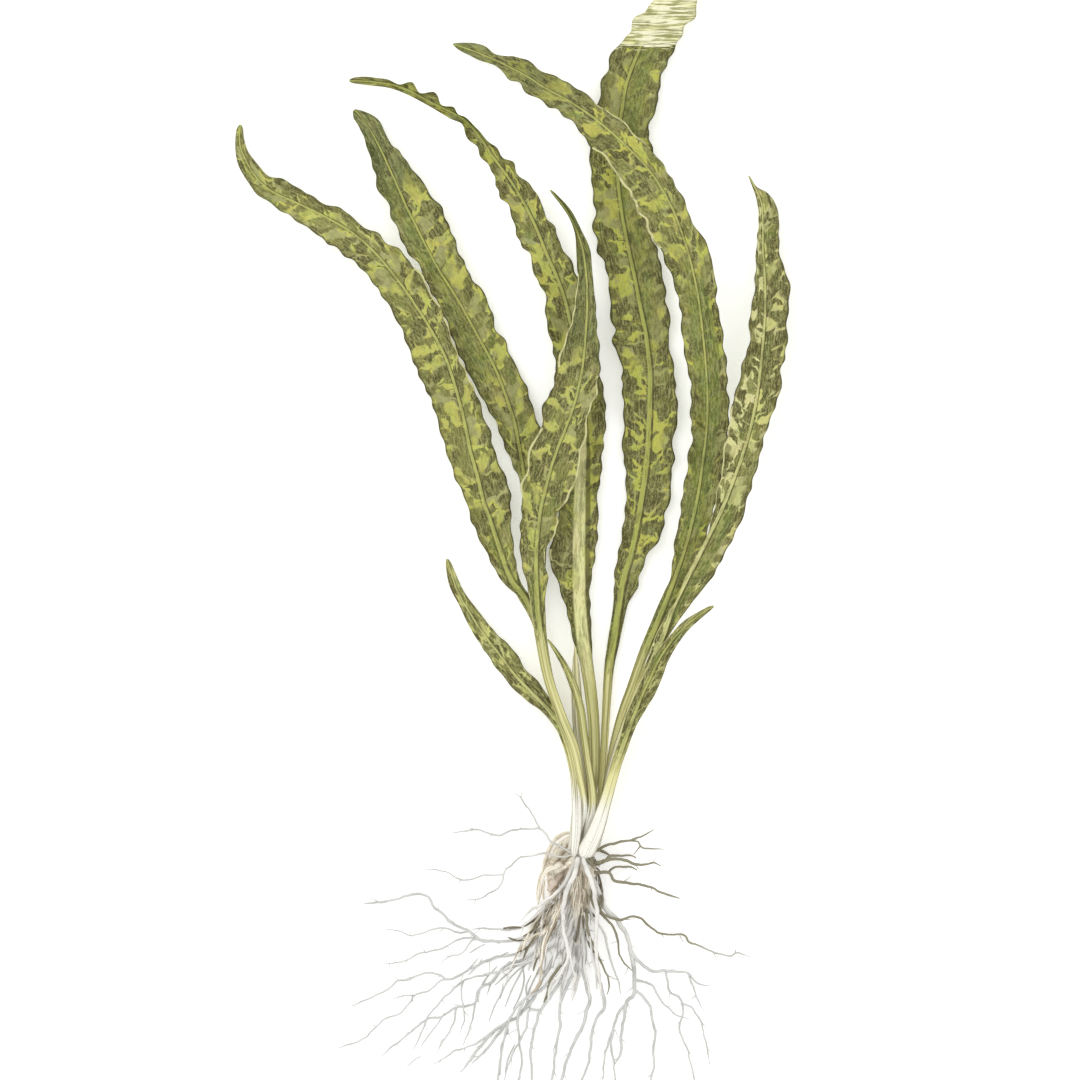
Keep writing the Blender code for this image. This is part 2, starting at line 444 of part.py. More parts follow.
def sheet_normals(route):
    """The leftward unit normal on the sheet at each point of a route."""
    tangent = np.gradient(route[:, :2], axis=0)
    tangent /= np.hypot(tangent[:, 0], tangent[:, 1])[:, None]
    return np.stack([tangent[:, 1], -tangent[:, 0]], axis=1)


def leaf_sections(name):
    """Rib point, leftward normal, left and right half width (squares) and rise (mm) at each section."""
    leaf = LEAVES[name]
    stalk = [(x, y, z, 0.0) for x, y, z, half in leaf["stalk"]]
    points = stalk + leaf["rib"]
    step = STATION if run_length(points) > GROWN else SMALL_STATION
    route, length = resample(points, max(12, round(run_length(points) / step) + 1))
    widths_at = np.array([(x, y) for x, y, z, half in leaf["stalk"]], dtype=float)
    halves = [half for x, y, z, half in leaf["stalk"]]
    stalk_length = np.concatenate([[0.0], np.cumsum(np.hypot(*np.diff(widths_at, axis=0).T))])
    normals = sheet_normals(route)
    left = []
    right = []
    for i, (x, y, z, rise) in enumerate(route):
        at = length * i / (len(route) - 1)
        if at <= stalk_length[-1] or not leaf["rib"]:
            half = float(np.interp(at, stalk_length, halves))
            left.append(half)
            right.append(half)
            continue
        for side, margin, sign in ((left, leaf["left"], -1.0), (right, leaf["right"], 1.0)):
            start = leaf["stalk"][-1]
            whole = [(start[0] + sign * start[3], start[1])] + margin
            found = reach((x, y), (-sign * normals[i][0], -sign * normals[i][1]), whole)
            side.append(found if found is not None and found < WIDEST else side[-1] * TIP_TAPER)
    return route, normals, left, right, length


def add_material(name, colour, roughness):
    material = bpy.data.materials.new(name)
    material.use_nodes = True
    shader = material.node_tree.nodes["Principled BSDF"]
    shader.inputs["Base Color"].default_value = (*colour, 1.0)
    shader.inputs["Roughness"].default_value = roughness
    shader.inputs["Metallic"].default_value = 0.0
    return material


def add_part(name, mesh, colour, roughness=0.5):
    mesh.name = name
    mesh.materials.clear()
    mesh.materials.append(add_material(name + "_colour", colour, roughness))
    mesh.shade_smooth()
    plant.objects.link(bpy.data.objects.new(name, mesh))


def tube_block(sides, stations):
    """A capped prism along z from 0 to 1, cut into equal lengths."""
    mesh = bmesh.new()
    bmesh.ops.create_cone(mesh, cap_ends=True, segments=sides, radius1=1.0, radius2=1.0, depth=1.0)
    uprights = [e for e in mesh.edges if abs(e.verts[0].co.z - e.verts[1].co.z) > 0.5]
    bmesh.ops.subdivide_edges(mesh, edges=uprights, cuts=stations - 2, use_grid_fill=False)
    return mesh


def face_outwards(shell):
    """Turn the faces of a closed shell over if they look inwards."""
    if shell.calc_volume(signed=True) < 0:
        bmesh.ops.reverse_faces(shell, faces=shell.faces)


def place_in_block(vert, sides, stations):
    """Which section a corner of the prism belongs to, and its place round the section."""
    station = round((vert.co.z + 0.5) * (stations - 1))
    turn = math.atan2(vert.co.y, vert.co.x) / (2 * math.pi)
    return station, round(turn * sides) % sides


def build_leaf(name, order):
    """Stalk, midrib and blade in one closed solid."""
    route, normals, left, right, length = leaf_sections(name)
    stations = len(route)
    block = tube_block(RING, stations)
    for vert in block.verts:
        station, corner = place_in_block(vert, RING, stations)
        x, y, z, rise = route[station]
        angle = 2 * math.pi * corner / RING
        across = math.cos(angle)
        up = math.sin(angle)
        half = left[station] if across < 0 else right[station]
        mean = 0.5 * (left[station] + right[station])
        flat = smooth_step(BLADE_FROM, BLADE_FULL, mean) if LEAVES[name]["rib"] else 0.0
        thick = STALK_THICK
        if name in PRESSED:
            thick = mean * SQUARE / MM * PRESSED[name]
        if corner % 4 == 0:
            height = 0.0
        elif corner % 2 == 0:
            height = thick * (1 - flat) + min(RIB_THICK, thick) * flat
        else:
            height = thick * STALK_SHOULDER[1] * (1 - flat) + BLADE_THICK * flat
        height *= 1.0 if up > 0 else -1.0
        reach_out = abs(across) if corner % 2 == 0 else STALK_SHOULDER[0] * (1 - flat) + BLADE_SHOULDER * flat
        out = half * reach_out
        side = -1.0 if across < -0.01 else 1.0
        if abs(across) < 0.01:
            out = 0.0
        shape = reach_out ** 2 if out else 0.0
        at = length * station / (stations - 1)
        wave = WAVE * math.sin(2 * math.pi * at / WAVE_LENGTH + order * 1.7 + (1.1 if side > 0 else 0.0))
        lift = flat * shape * (RISE * half * SQUARE / MM + wave) + rise * shape
        nx, ny = normals[station]
        vert.co = sheet(x - side * out * nx, y - side * out * ny, z + height + lift)
    face_outwards(block)
    mesh = bpy.data.meshes.new(name)
    block.to_mesh(mesh)
    block.free()
    add_part(name, mesh, LEAF_COLOURS[name], 0.42)


def build_crown():
    """The short stem: a round bar that narrows to its old end."""
    route = np.array(CROWN, dtype=float)
    stations = len(route)
    block = tube_block(CROWN_SIDES, stations)
    for vert in block.verts:
        station, corner = place_in_block(vert, CROWN_SIDES, stations)
        x, y, z, radius = route[station]
        angle = 2 * math.pi * (corner + 0.5 * (station % 2)) / CROWN_SIDES
        ridge = radius * (1.0 + CROWN_RIDGE * math.cos(5 * angle + station))
        vert.co = sheet(x + ridge * MM / SQUARE * math.cos(angle), y, z + ridge * math.sin(angle))
    face_outwards(block)
    mesh = bpy.data.meshes.new("crown")
    block.to_mesh(mesh)
    block.free()
    add_part("crown", mesh, BROWN, 0.7)


class HeightMap:
    """How high the pieces already laid stand above each square of the table, in mm."""

    def __init__(self):
        self.top = np.zeros(MAP_CELLS)

    def cells(self, x, y, reach_squares):
        """Cell numbers within a distance of a point, and their distances, in squares."""
        i0 = max(0, int(x - MAP_FROM[0] - reach_squares))
        i1 = min(self.top.shape[0], int(x - MAP_FROM[0] + reach_squares) + 2)
        j0 = max(0, int(y - MAP_FROM[1] - reach_squares))
        j1 = min(self.top.shape[1], int(y - MAP_FROM[1] + reach_squares) + 2)
        i, j = np.meshgrid(np.arange(i0, i1), np.arange(j0, j1), indexing="ij")
        distance = np.hypot(i + MAP_FROM[0] - x, j + MAP_FROM[1] - y)
        near = distance <= reach_squares
        return i[near], j[near], distance[near]

    def rest(self, x, y, radius):
        """The lowest middle of a root of that radius that clears all that is laid."""
        clear = radius + GAP
        i, j, distance = self.cells(x, y, clear * MM / SQUARE + 0.5 * CELL)
        top = self.top[i, j]
        aside = np.maximum(0.0, distance - 0.5 * CELL) * SQUARE / MM
        lifted = top + np.sqrt(np.maximum(0.0, clear ** 2 - aside ** 2))
        return float(max(radius + ON_TABLE, np.where(top > 0.0, lifted, 0.0).max()))

    def lay(self, x, y, z, radius):
        """Enter a ball of a root in the map."""
        i, j, distance = self.cells(x, y, radius * MM / SQUARE + 0.5 * CELL)
        height = z + np.sqrt(np.maximum(0.0, radius ** 2 - (distance * SQUARE / MM) ** 2))
        self.top[i, j] = np.maximum(self.top[i, j], height)


def drape(points, radius_start, radius_end, start_height, below):
    """Heights of a root that lies on the table and over what is already there."""
    count = max(4, round(run_length(points) / DRAPE_STEP) + 1)
    route, length = resample(points, count)
    radius = np.linspace(radius_start, radius_end, count)
    at = np.linspace(0.0, length, count)
    need = np.array([below.rest(x, y, r) for (x, y), r in zip(route[:, :2], radius)])
    if start_height is not None:
        need = np.maximum(need, radius + (start_height - radius[0]) * np.exp(-(at / FALL) ** 2))
    cut = max(3, round(length / ROOT_STEP) + 1)
    spread = length / (cut - 1)
    held = np.array([need[np.abs(at - a) <= spread].max() for a in at])
    eased = np.array([(held - SLOPE * np.abs(at - a)).max() for a in at])
    corner = np.linspace(0, count - 1, cut).round().astype(int)
    return route[corner], eased[corner], radius[corner]


def weld(mesh):
    """Close a mesh's caps and face it outwards."""
    shell = bmesh.new()
    shell.from_mesh(mesh)
    bmesh.ops.remove_doubles(shell, verts=shell.verts, dist=WELD)
    face_outwards(shell)
    shell.to_mesh(mesh)
    shell.free()
    return mesh


def tube(name, route, heights, radii):
    """A tapering root with closed ends, as a curve turned into a mesh."""
    curve = bpy.data.curves.new(name, "CURVE")
    curve.dimensions = "3D"
    curve.bevel_depth = 1.0
    curve.bevel_resolution = 0
    curve.use_fill_caps = True
    curve.twist_mode = "Z_UP"
    spline = curve.splines.new("POLY")
    spline.points.add(len(route) - 1)
    for point, (x, y), z, r in zip(spline.points, route[:, :2], heights, radii):
        point.co = (*sheet(x, y, z), 1.0)
        point.radius = r * MM
    holder = bpy.data.objects.new(name, curve)
    bpy.context.scene.collection.objects.link(holder)
    bpy.context.view_layer.update()
    mesh = bpy.data.meshes.new_from_object(holder.evaluated_get(bpy.context.evaluated_depsgraph_get()))
    bpy.data.objects.remove(holder)
    bpy.data.curves.remove(curve)
    return weld(mesh)


def join_runs(name, meshes):
    """One closed solid from a main root and its forks."""
    main = bpy.data.objects.new(name, meshes[0])
    bpy.context.scene.collection.objects.link(main)
    for mesh in meshes[1:]:
        fork = bpy.data.objects.new(name + "_fork", mesh)
        bpy.context.scene.collection.objects.link(fork)
        union = main.modifiers.new("join", "BOOLEAN")
        union.operation = "UNION"
        union.solver = "EXACT"
        union.object = fork
        bpy.context.view_layer.update()
        joined = bpy.data.meshes.new_from_object(main.evaluated_get(bpy.context.evaluated_depsgraph_get()))
        main.modifiers.clear()
        main.data = joined
        bpy.data.objects.remove(fork)
    mesh = main.data
    bpy.data.objects.remove(main)
    return weld(mesh)


def lay_crown(below):
    """Enter the crown in the height map."""
    route, length = resample(CROWN, 60)
    for x, y, z, radius in route:
        for side in np.linspace(-1.0, 1.0, 41):
            out = radius * (1 + CROWN_RIDGE) * side
            i, j, distance = below.cells(x + out * MM / SQUARE, y, 1.2 * CELL)
            height = z + math.sqrt(max(0.0, (radius * (1 + CROWN_RIDGE)) ** 2 - out ** 2))
            below.top[i, j] = np.maximum(below.top[i, j], height)


def build_roots():
    """Lay the roots one after another, each over those before it."""
    below = HeightMap()
    lay_crown(below)
    for name, (start_height, runs) in ROOTS.items():
        meshes = []
        laid = []
        main = None
        for number, (radius_start, radius_end, points) in enumerate(runs):
            leave = start_height if number == 0 else None
            route, heights, radii = drape(points, radius_start, radius_end, leave, below)
            if laid:
                x, y = points[0]
                near = min((math.hypot(x - px, y - py), px, py, pz) for px, py, pz, pr in laid)
                route[0][:2] = near[1:3]
                heights[0] = near[3]
            meshes.append(tube(name, route, heights, radii))
            dense = max(2, round(run_length(points)))
            along = np.linspace(0, len(route) - 1, dense)
            steps = np.arange(len(route))
            rows = (*route[:, :2].T, heights, radii)
            for a in along:
                laid.append(tuple(float(np.interp(a, steps, row)) for row in rows))
        for x, y, z, radius in laid:
            below.lay(x, y, z, radius)
        mesh = join_runs(name, meshes)
        add_part(name, mesh, ROOT_COLOURS.get(name, GREY), 0.65)


for old in list(bpy.data.objects):
    bpy.data.objects.remove(old)
plant = bpy.data.collections.new("cryptocoryne")
bpy.context.scene.collection.children.link(plant)
for number, leaf_name in enumerate(LEAVES):
    build_leaf(leaf_name, number)
build_crown()
build_roots()
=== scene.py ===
"""The dressed cryptocoryne: marbled leaves, sheathed stalks, crown and forked roots, lying on a pale table.

+Z is up from the table at z = 0, +Y runs from the roots to the leaf tips and +X to the right.
Routes are drawn on a squared sheet laid over the plant: x to the right and y down, in squares,
and z in millimetres above the table.
"""
import math
import random

import bmesh
import bpy
import numpy as np
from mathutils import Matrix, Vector
from mathutils.bvhtree import BVHTree


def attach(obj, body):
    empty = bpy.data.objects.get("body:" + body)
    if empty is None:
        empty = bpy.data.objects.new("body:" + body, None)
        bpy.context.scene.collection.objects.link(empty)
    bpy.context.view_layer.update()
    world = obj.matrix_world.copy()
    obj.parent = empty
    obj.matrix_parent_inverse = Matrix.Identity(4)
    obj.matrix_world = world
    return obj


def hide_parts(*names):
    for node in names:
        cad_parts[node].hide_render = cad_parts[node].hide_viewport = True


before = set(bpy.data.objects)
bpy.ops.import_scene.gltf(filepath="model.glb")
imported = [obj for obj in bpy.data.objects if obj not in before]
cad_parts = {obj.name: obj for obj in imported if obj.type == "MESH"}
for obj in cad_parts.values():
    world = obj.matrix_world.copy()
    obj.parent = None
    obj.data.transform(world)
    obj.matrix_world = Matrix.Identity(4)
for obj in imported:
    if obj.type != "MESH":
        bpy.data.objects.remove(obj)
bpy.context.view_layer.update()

bl_info = {
    "name": "Cryptocoryne",
    "version": (1, 0, 0),
    "blender": (4, 5, 0),
    "location": "View3D > Sidebar > Plant",
    "description": "Leaves, crown and roots of a bare-rooted cryptocoryne, and the table that it lies on",
    "category": "Object",
}

SQUARE = 0.00036          # side of one square of the sheet, in metres
MM = 0.001
SHEET_X = 512.0           # the square above the origin
SHEET_Y = 518.0
ON_TABLE = 0.05           # space between the table and what lies on it, mm

STEPS_BETWEEN = 12        # steps of a curve from one of its points to the next
SAME_PLACE = 0.000004     # corners of a tube closer than this are one, metres

SIDES = 60                # corners round a leaf's section
STALK_THICK = 1.15        # half thickness of a round stalk, mm
FLUTES = 7                # flutes round a stalk
FLUTE_DEPTH = 0.05        # their depth as a share of its thickness
FLUTE_DRIFT = 3.0         # how far they wind round it, in radians
FLUTE_WAVE = 90.0         # squares from one such wind to the next
BLADE_FROM = 5.0          # half width in squares where the stalk begins to flatten
BLADE_FULL = 13.0         # half width in squares where the blade is thin
TIP_FLAT = 0.8            # a blade's tip stays this flat
TIP_FROM = 60.0           # from so many squares before its end
TIP_TO = 5.0              # to so many
LEAST_HALF = 0.3          # least half width of a leaf, squares
LEAST_BLADE = 0.1         # least thickness of a blade on the table, mm
LOOK_OUT = 1.12           # other leaves are looked for so far out from the rib, in half widths
BLEACHED_ROWS = (66.0, 32.0)  # rows of the sheet over which the tallest leaf bleaches
WIDEST = 40.0             # no margin is farther than this from the rib, squares
RISE = 0.20               # how far the margins stand above the rib, for each half width
WAVE = 1.1                # height of the margin's slow waves, mm
WAVE_LENGTH = 150.0       # squares from one wave to the next
RUFFLED_FROM = 3.0        # half width in squares where ruffles begin
RUFFLED_FULL = 16.0       # half width in squares where they reach their full height
LEAN = 0.62               # how far a side vein runs towards the tip on its way out, in vein steps
LEFT_LEAN = 0.86          # the same on the left half, as a share of that
VEIN_DRIFT = 0.35         # how unevenly the side veins follow each other, in vein steps
RIB_FADE = 30.0           # squares before a leaf's end over which its rib runs out
LEAF_SHIFT = 7.3          # distance between the leaves' places in the noises

WAY_IN_ROW = 880.0        # a root whose first corner is above this row of the sheet
WAY_IN_SHORT = 3.0        # begins in the crown so many squares farther up,
WAY_IN_LONG = 24.0        # and a lower one so many
WAY_IN_LIFT = 3.0         # squares past its own first corner where it is as high as its solid
GIRTH_WAVE = 26.0         # squares from one swelling of a root to the next
WAY_WAVE = 34.0           # squares from one bend of a root's way to the next
KINK_WAVE = 15.0          # the same for the small kinks on it
ROOT_TIP = 12.0           # squares over which a root's end thins out
ROOTLET_FIRST = (18.0, 45.0)  # least and most squares from a root's start to its first rootlet
ROOTLET_NEXT = (16.0, 52.0)   # the same from one rootlet to the next
ROOTLET_LAST = 6.0        # squares before a root's end without rootlets
ROOTLET_STEPS = 9         # corners of a rootlet
CROWN_SIDES = 72          # corners round the crown
CROWN_CUTS = (7, 9)       # how its tube is cut across, twice
CROWN_TOP = 856           # row of the sheet where the crown is white like the sheaths
CROWN_MIDDLE = (578, 900, 4.0)   # the point from which a root's near and far are measured
NEAR_CROWN = (0.018, 0.036)      # distances between which the colour near the crown ends, metres
FAR_OUT = (0.040, 0.056)         # distances between which the colour far out begins, metres
FAN_STEPS = 18            # corners of a strand in a fan

PICTURE = (540.0, 540.0)  # the square at the middle of the view
PICTURE_WIDE = 1080.0     # squares across the view
VIEW_HEIGHT = 4.0         # height of the camera above the leaves, metres
FILM = 36.0               # width of the camera's film, mm
MEAN_LEAF = 8.0           # height of most of the leaves, mm
TABLE_SIZE = 12.0         # side of the table, metres
TABLE_GLOW = 0.30         # light that the table gives of its own, as a light table does
VIEW_REACH = 40.0         # how far the camera sees, metres
LAMP_PLACE = (-1.1, 1.0, 1.9)  # metres
LAMP_SIZE = 1.6           # width of the soft lamp, metres
LAMP_POWER = 9.0          # watts

# Each leaf: its stalk as (x, y, z, half width), its midrib as (x, y, z) with the rise of the margins
# where there is one, and the two margins, all from the foot to the tip.
LEAVES = {
    "leaf_far_left": {
        "stalk": [
            (570.5, 852, 4.3, 3.3), (573.5, 830, 5, 3.4), (576, 800, 6.2, 3.6), (574.5, 770, 5.6, 3.8),
            (568.5, 745, 5.3, 3.8), (556.5, 705, 5.3, 3.8), (545, 660, 5.8, 3.8), (536, 622, 6.2, 4.2),
            (523, 595, 6.2, 6)],
        "rib": [
            (511, 580, 6.2), (500, 550, 6.3), (490, 520, 6.5), (483, 500, 7), (477, 475, 7.5),
            (470, 450, 8), (465, 425, 8.5), (459, 400, 9), (451, 373, 9.5), (442, 350, 9.8), (425, 320, 10),
            (405, 290, 9.8), (385, 264, 9.2), (365, 243, 8.4), (345, 228, 7.4), (320, 214, 6),
            (295, 202, 4.6), (270, 190, 3.4), (253, 173, 2.4), (241, 150, 1.6), (239, 135, 1.4),
            (240, 124, 1.3)],
        "left": [
            (501, 580), (485, 550), (471, 520), (466, 500), (456, 480), (446, 450), (440, 430), (431, 400),
            (421, 380), (409, 350), (402, 330), (395, 317), (387, 303), (380, 293), (372, 281), (365, 273),
            (355, 262), (345, 257), (340, 250), (330, 245), (320, 237), (312, 230), (302, 225), (292, 217),
            (280, 210), (270, 203), (258, 195), (250, 185), (243, 175), (237, 162), (235, 150), (235, 135),
            (237, 124)],
        "right": [
            (520, 580), (514, 550), (511, 520), (510, 490), (500, 465), (494, 450), (490, 430), (483, 415),
            (479, 400), (470, 380), (456, 350), (443, 312), (437, 303), (430, 290), (425, 282), (420, 270),
            (412, 267), (407, 258), (400, 249), (388, 245), (380, 234), (368, 230), (360, 223), (352, 218),
            (345, 210), (330, 205), (318, 201), (310, 194), (297, 188), (287, 180), (272, 177), (265, 173),
            (258, 165), (252, 157), (247, 150), (243, 135), (243, 124)],
    },
    "leaf_left": {
        "stalk": [
            (576, 852, 1.5, 3.2), (577, 830, 1.8, 3.3), (577, 800, 2.2, 3.4), (574, 775, 2.4, 3.5),
            (568, 745, 2.4, 3.6), (559, 715, 2.3, 3.6), (550, 680, 2.2, 3.8), (543, 640, 2.2, 4.2),
            (540, 600, 2.4, 5)],
        "rib": [
            (539, 570, 2.6), (536, 540, 2.8), (531, 510, 3), (525, 480, 3.2), (520, 452, 3), (515, 425, 3),
            (508, 402, 3), (500, 380, 3.2), (491, 360, 3.5), (480, 340, 4), (468, 318, 4.8),
            (455, 295, 5.6), (440, 272, 6.4), (428, 250, 7), (418, 230, 7.4), (408, 210, 7.4),
            (400, 192, 7), (391, 172, 6.2), (382, 152, 5), (372, 133, 3.6), (362, 118, 2.2),
            (354, 109, 1.2)],
        "left": [
            (532, 575), (528, 545), (522, 510), (521, 484), (517, 475), (512, 463), (507, 452), (502, 440),
            (497, 425), (490, 412), (484, 402), (478, 390), (470, 378), (466, 368), (460, 357), (456, 348),
            (452, 338), (448, 325), (442, 312), (436, 300), (430, 290), (425, 280), (421, 268), (413, 258),
            (408, 253), (404, 246), (400, 236), (396, 226), (391, 217), (390, 207), (385, 200), (379, 192),
            (376, 182), (375, 172), (371, 162), (369, 152), (365, 142), (362, 132), (356, 122), (352, 115),
            (352, 110)],
        "right": [
            (545, 575), (547, 540), (546, 505), (545, 470), (541, 430), (538, 422), (534, 412), (531, 402),
            (528, 390), (523, 380), (519, 370), (514, 362), (508, 352), (508, 343), (500, 335), (494, 325),
            (493, 312), (487, 302), (484, 292), (480, 285), (472, 281), (468, 269), (463, 260), (458, 250),
            (455, 240), (451, 230), (446, 220), (443, 208), (436, 202), (430, 193), (425, 186), (418, 176),
            (412, 168), (405, 160), (400, 150), (392, 147), (388, 137), (382, 127), (378, 118), (362, 110),
            (355, 108)],
    },
    "leaf_arching_left": {
        "stalk": [
            (577, 852, 4.3, 3.2), (583, 830, 5, 3.3), (591, 800, 6, 4.4), (594.5, 770, 6.2, 5.2),
            (594.5, 748, 6.3, 5.6), (593.5, 720, 6.3, 5.8), (590.5, 690, 6, 6.2), (586, 660, 5.6, 6.6)],
        "rib": [
            (583, 640, 5.2), (580, 610, 4.5), (579, 570, 4), (579, 530, 3.6), (580, 490, 3.3),
            (582, 450, 3.2), (583, 420, 3.3), (581, 385, 3.6), (577, 350, 4), (571, 325, 4.5),
            (565, 300, 5), (556, 275, 6), (547, 255, 7), (538, 232, 8), (530, 215, 9, 0.4),
            (521, 198, 10, 0.8), (510, 180, 10.8, 1.4), (498, 164, 11.2, 2), (488, 150, 11.3, 2.6),
            (477, 134, 11, 3), (465, 121, 10.4, 3.2), (450, 112, 9.4, 3.2), (430, 102, 7.8, 3),
            (410, 91, 6, 2.6), (390, 84, 4.2, 1.8), (370, 81, 2.6, 1), (349, 80, 1.3, 0.2)],
        "left": [
            (573, 640), (570, 625), (565, 605), (560, 590), (555, 575), (549, 560), (552, 540), (557, 520),
            (560, 490), (562, 460), (562, 430), (559, 400), (556, 368), (551, 340), (546, 320), (545, 292),
            (538, 283), (531, 262), (530, 252), (522, 247), (516, 232), (513, 220), (508, 205), (500, 199),
            (500, 190), (495, 187), (495, 177), (491, 172), (489, 165), (480, 158), (478, 147), (471, 143),
            (466, 137), (463, 125), (457, 122), (450, 119), (430, 107), (410, 96), (390, 88), (370, 85),
            (348, 82)],
        "right": [
            (592, 640), (590, 590), (593, 570), (596, 550), (598, 530), (598, 490), (601, 480), (602, 460),
            (604, 440), (606, 420), (605, 400), (603, 385), (599, 375), (596, 340), (590, 300), (577, 275),
            (573, 267), (570, 257), (563, 250), (560, 245), (557, 232), (553, 225), (547, 218), (543, 210),
            (540, 197), (532, 190), (528, 182), (520, 177), (516, 172), (514, 163), (507, 160), (502, 158),
            (497, 148), (488, 142), (480, 132), (473, 125), (465, 117), (457, 115), (455, 107), (447, 107),
            (440, 105), (439, 98), (435, 92), (430, 92), (420, 94), (416, 88), (414, 82), (407, 82),
            (400, 85), (388, 79), (380, 78), (365, 76), (350, 77)],
    },
    "leaf_centre_front": {
        "stalk": [
            (574, 852, 7.2, 3.2), (579.5, 830, 7.8, 3.2), (584, 815, 9.2, 3.1), (584.4, 800, 10.6, 3.3),
            (579, 772, 12, 4.6), (573, 745, 13, 5.0), (561, 715, 13.4, 5.0), (549, 680, 13.5, 5),
            (542, 645, 13.3, 5.4), (538.5, 618, 13.1, 6)],
        "rib": [
            (537, 600, 13), (536, 570, 13), (537, 540, 13.1), (541, 508, 13.4), (549, 475, 14),
            (557, 450, 14.6), (567, 425, 15.1), (576, 398, 15.6), (582, 370, 15.9), (585, 340, 16),
            (587, 305, 16, 0.8), (586, 275, 15.6, 2), (582, 248, 14.2, 2.6), (574, 225, 12.2, 2.2),
            (563, 206, 9.6, 1.4), (550, 190, 7, 0.4)],
        "left": [
            (530, 600), (526, 580), (521, 560), (520, 530), (522, 510), (521, 485), (527, 470), (530, 445),
            (541, 430), (543, 405), (552, 390), (557, 365), (563, 345), (572, 320), (575, 300), (578, 280),
            (577, 270), (576, 250), (575, 235), (570, 220), (562, 207), (548, 189)],
        "right": [
            (545, 600), (547, 585), (548, 575), (544, 560), (546, 550), (551, 540), (557, 530), (558, 517),
            (560, 508), (568, 500), (572, 490), (577, 480), (580, 470), (580, 455), (584, 445), (587, 430),
            (588, 415), (592, 405), (597, 395), (598, 378), (600, 370), (599, 345), (597, 330), (596, 310),
            (594, 290), (592, 270), (590, 250), (582, 232), (572, 212), (560, 198), (551, 189)],
    },
    "leaf_tall": {
        "stalk": [
            (596, 852, 4.3, 3.2), (600, 830, 2.8, 3.2), (600.8, 800, 2.2, 3.5), (603.5, 760, 2.6, 3.8),
            (606, 715, 3, 4), (609, 670, 3, 4.8), (614, 640, 2.6, 6)],
        "rib": [
            (618.5, 608, 2.2), (624, 578, 2), (632, 550, 1.8), (638, 520, 1.7), (643, 490, 1.7),
            (647, 460, 1.8), (649, 425, 2), (650, 395, 2.2), (650, 370, 2.6), (646, 335, 3.2),
            (640, 305, 3.6), (635, 278, 3.6), (629, 250, 3.2), (623, 220, 2.6), (619, 190, 2.2),
            (617, 160, 1.9), (618, 135, 1.8), (622, 110, 1.8), (626, 85, 1.8), (634, 62, 2), (643, 42, 2.4),
            (654, 22, 3), (667, 0, 3.8), (679, -22, 4.4), (690, -42, 4.6), (700, -62, 4.4)],
        "left": [
            (613, 608), (614, 590), (615, 570), (618, 555), (621, 540), (624, 520), (626, 500), (626, 480),
            (625, 465), (622, 450), (623, 440), (624, 420), (623, 400), (622, 385), (622, 370), (620, 358),
            (615, 350), (612, 337), (616, 330), (612, 322), (610, 310), (610, 295), (608, 280), (606, 268),
            (602, 258), (597, 252), (597, 240), (593, 232), (593, 222), (596, 210), (593, 200), (592, 180),
            (590, 165), (590, 152), (589, 135), (594, 112), (598, 101), (600, 95), (601, 85), (602, 78),
            (608, 70), (609, 60), (612, 52), (617, 45), (623, 42), (627, 35), (631, 30), (632, 22),
            (637, 15), (648, 8), (662, -18), (678, -42), (698, -61)],
        "right": [
            (627, 608), (630, 600), (637, 590), (640, 575), (645, 562), (650, 550), (660, 540), (664, 525),
            (665, 515), (670, 500), (672, 490), (671, 475), (675, 460), (673, 450), (674, 435), (678, 420),
            (678, 410), (676, 390), (675, 375), (671, 352), (668, 342), (670, 330), (669, 308), (665, 300),
            (666, 292), (664, 280), (660, 262), (657, 248), (652, 238), (650, 225), (649, 195), (654, 160),
            (653, 150), (649, 135), (649, 125), (655, 115), (656, 105), (659, 95), (660, 85), (662, 75),
            (668, 62), (673, 52), (676, 45), (682, 36), (683, 30), (688, 22), (696, 17), (697, 6),
            (701, -18), (705, -42), (702, -61)],
    },
    "leaf_arching_right": {
        "stalk": [
            (586.5, 852, 4.3, 3.2), (592, 830, 4.9, 3.2), (602, 808, 5.4, 3.3), (608, 775, 6.2, 3.6),
            (614, 742, 7.2, 3.8), (622, 712, 8.2, 3.9), (632, 685, 8.6, 4.4), (643, 655, 8.4, 5),
            (654, 630, 8, 6)],
        "rib": [
            (665, 603, 7.5), (677, 572, 7), (688, 538, 6.8), (697, 500, 7), (703, 460, 8), (707, 420, 10),
            (707, 390, 12), (705, 360, 14.4), (702, 330, 17), (698, 300, 19.4), (692, 270, 21.4),
            (685, 245, 22.4), (677, 222, 22.6), (667, 200, 22), (653, 177, 20.5), (638, 159, 18.5),
            (622, 143, 16.5), (603, 126, 14.5), (585, 112, 13), (565, 99, 11), (545, 88, 9), (525, 75, 7),
            (500, 62, 4.5), (475, 51, 2.4), (453, 43, 1.2)],
        "left": [
            (656, 610), (665, 590), (670, 580), (672, 565), (674, 550), (675, 535), (679, 525), (681, 505),
            (683, 490), (687, 470), (688, 455), (692, 440), (691, 425), (690, 410), (691, 395), (690, 380),
            (686, 365), (684, 350), (682, 340), (681, 325), (680, 310), (675, 290), (672, 280), (668, 270),
            (663, 260), (660, 250), (653, 242), (648, 235), (645, 222), (638, 215), (632, 200), (625, 188),
            (618, 180), (612, 170), (607, 160), (600, 155), (590, 147), (580, 132), (572, 122), (565, 118),
            (558, 110), (550, 108), (540, 100), (530, 95), (523, 90), (520, 83), (508, 79), (503, 72),
            (495, 65), (480, 60), (470, 55), (460, 50), (452, 44)],
        "right": [
            (669, 612), (683, 592), (692, 572), (705, 540), (715, 505), (722, 475), (727, 445), (729, 405),
            (727, 390), (727, 375), (726, 360), (723, 345), (722, 330), (719, 315), (716, 305), (716, 290),
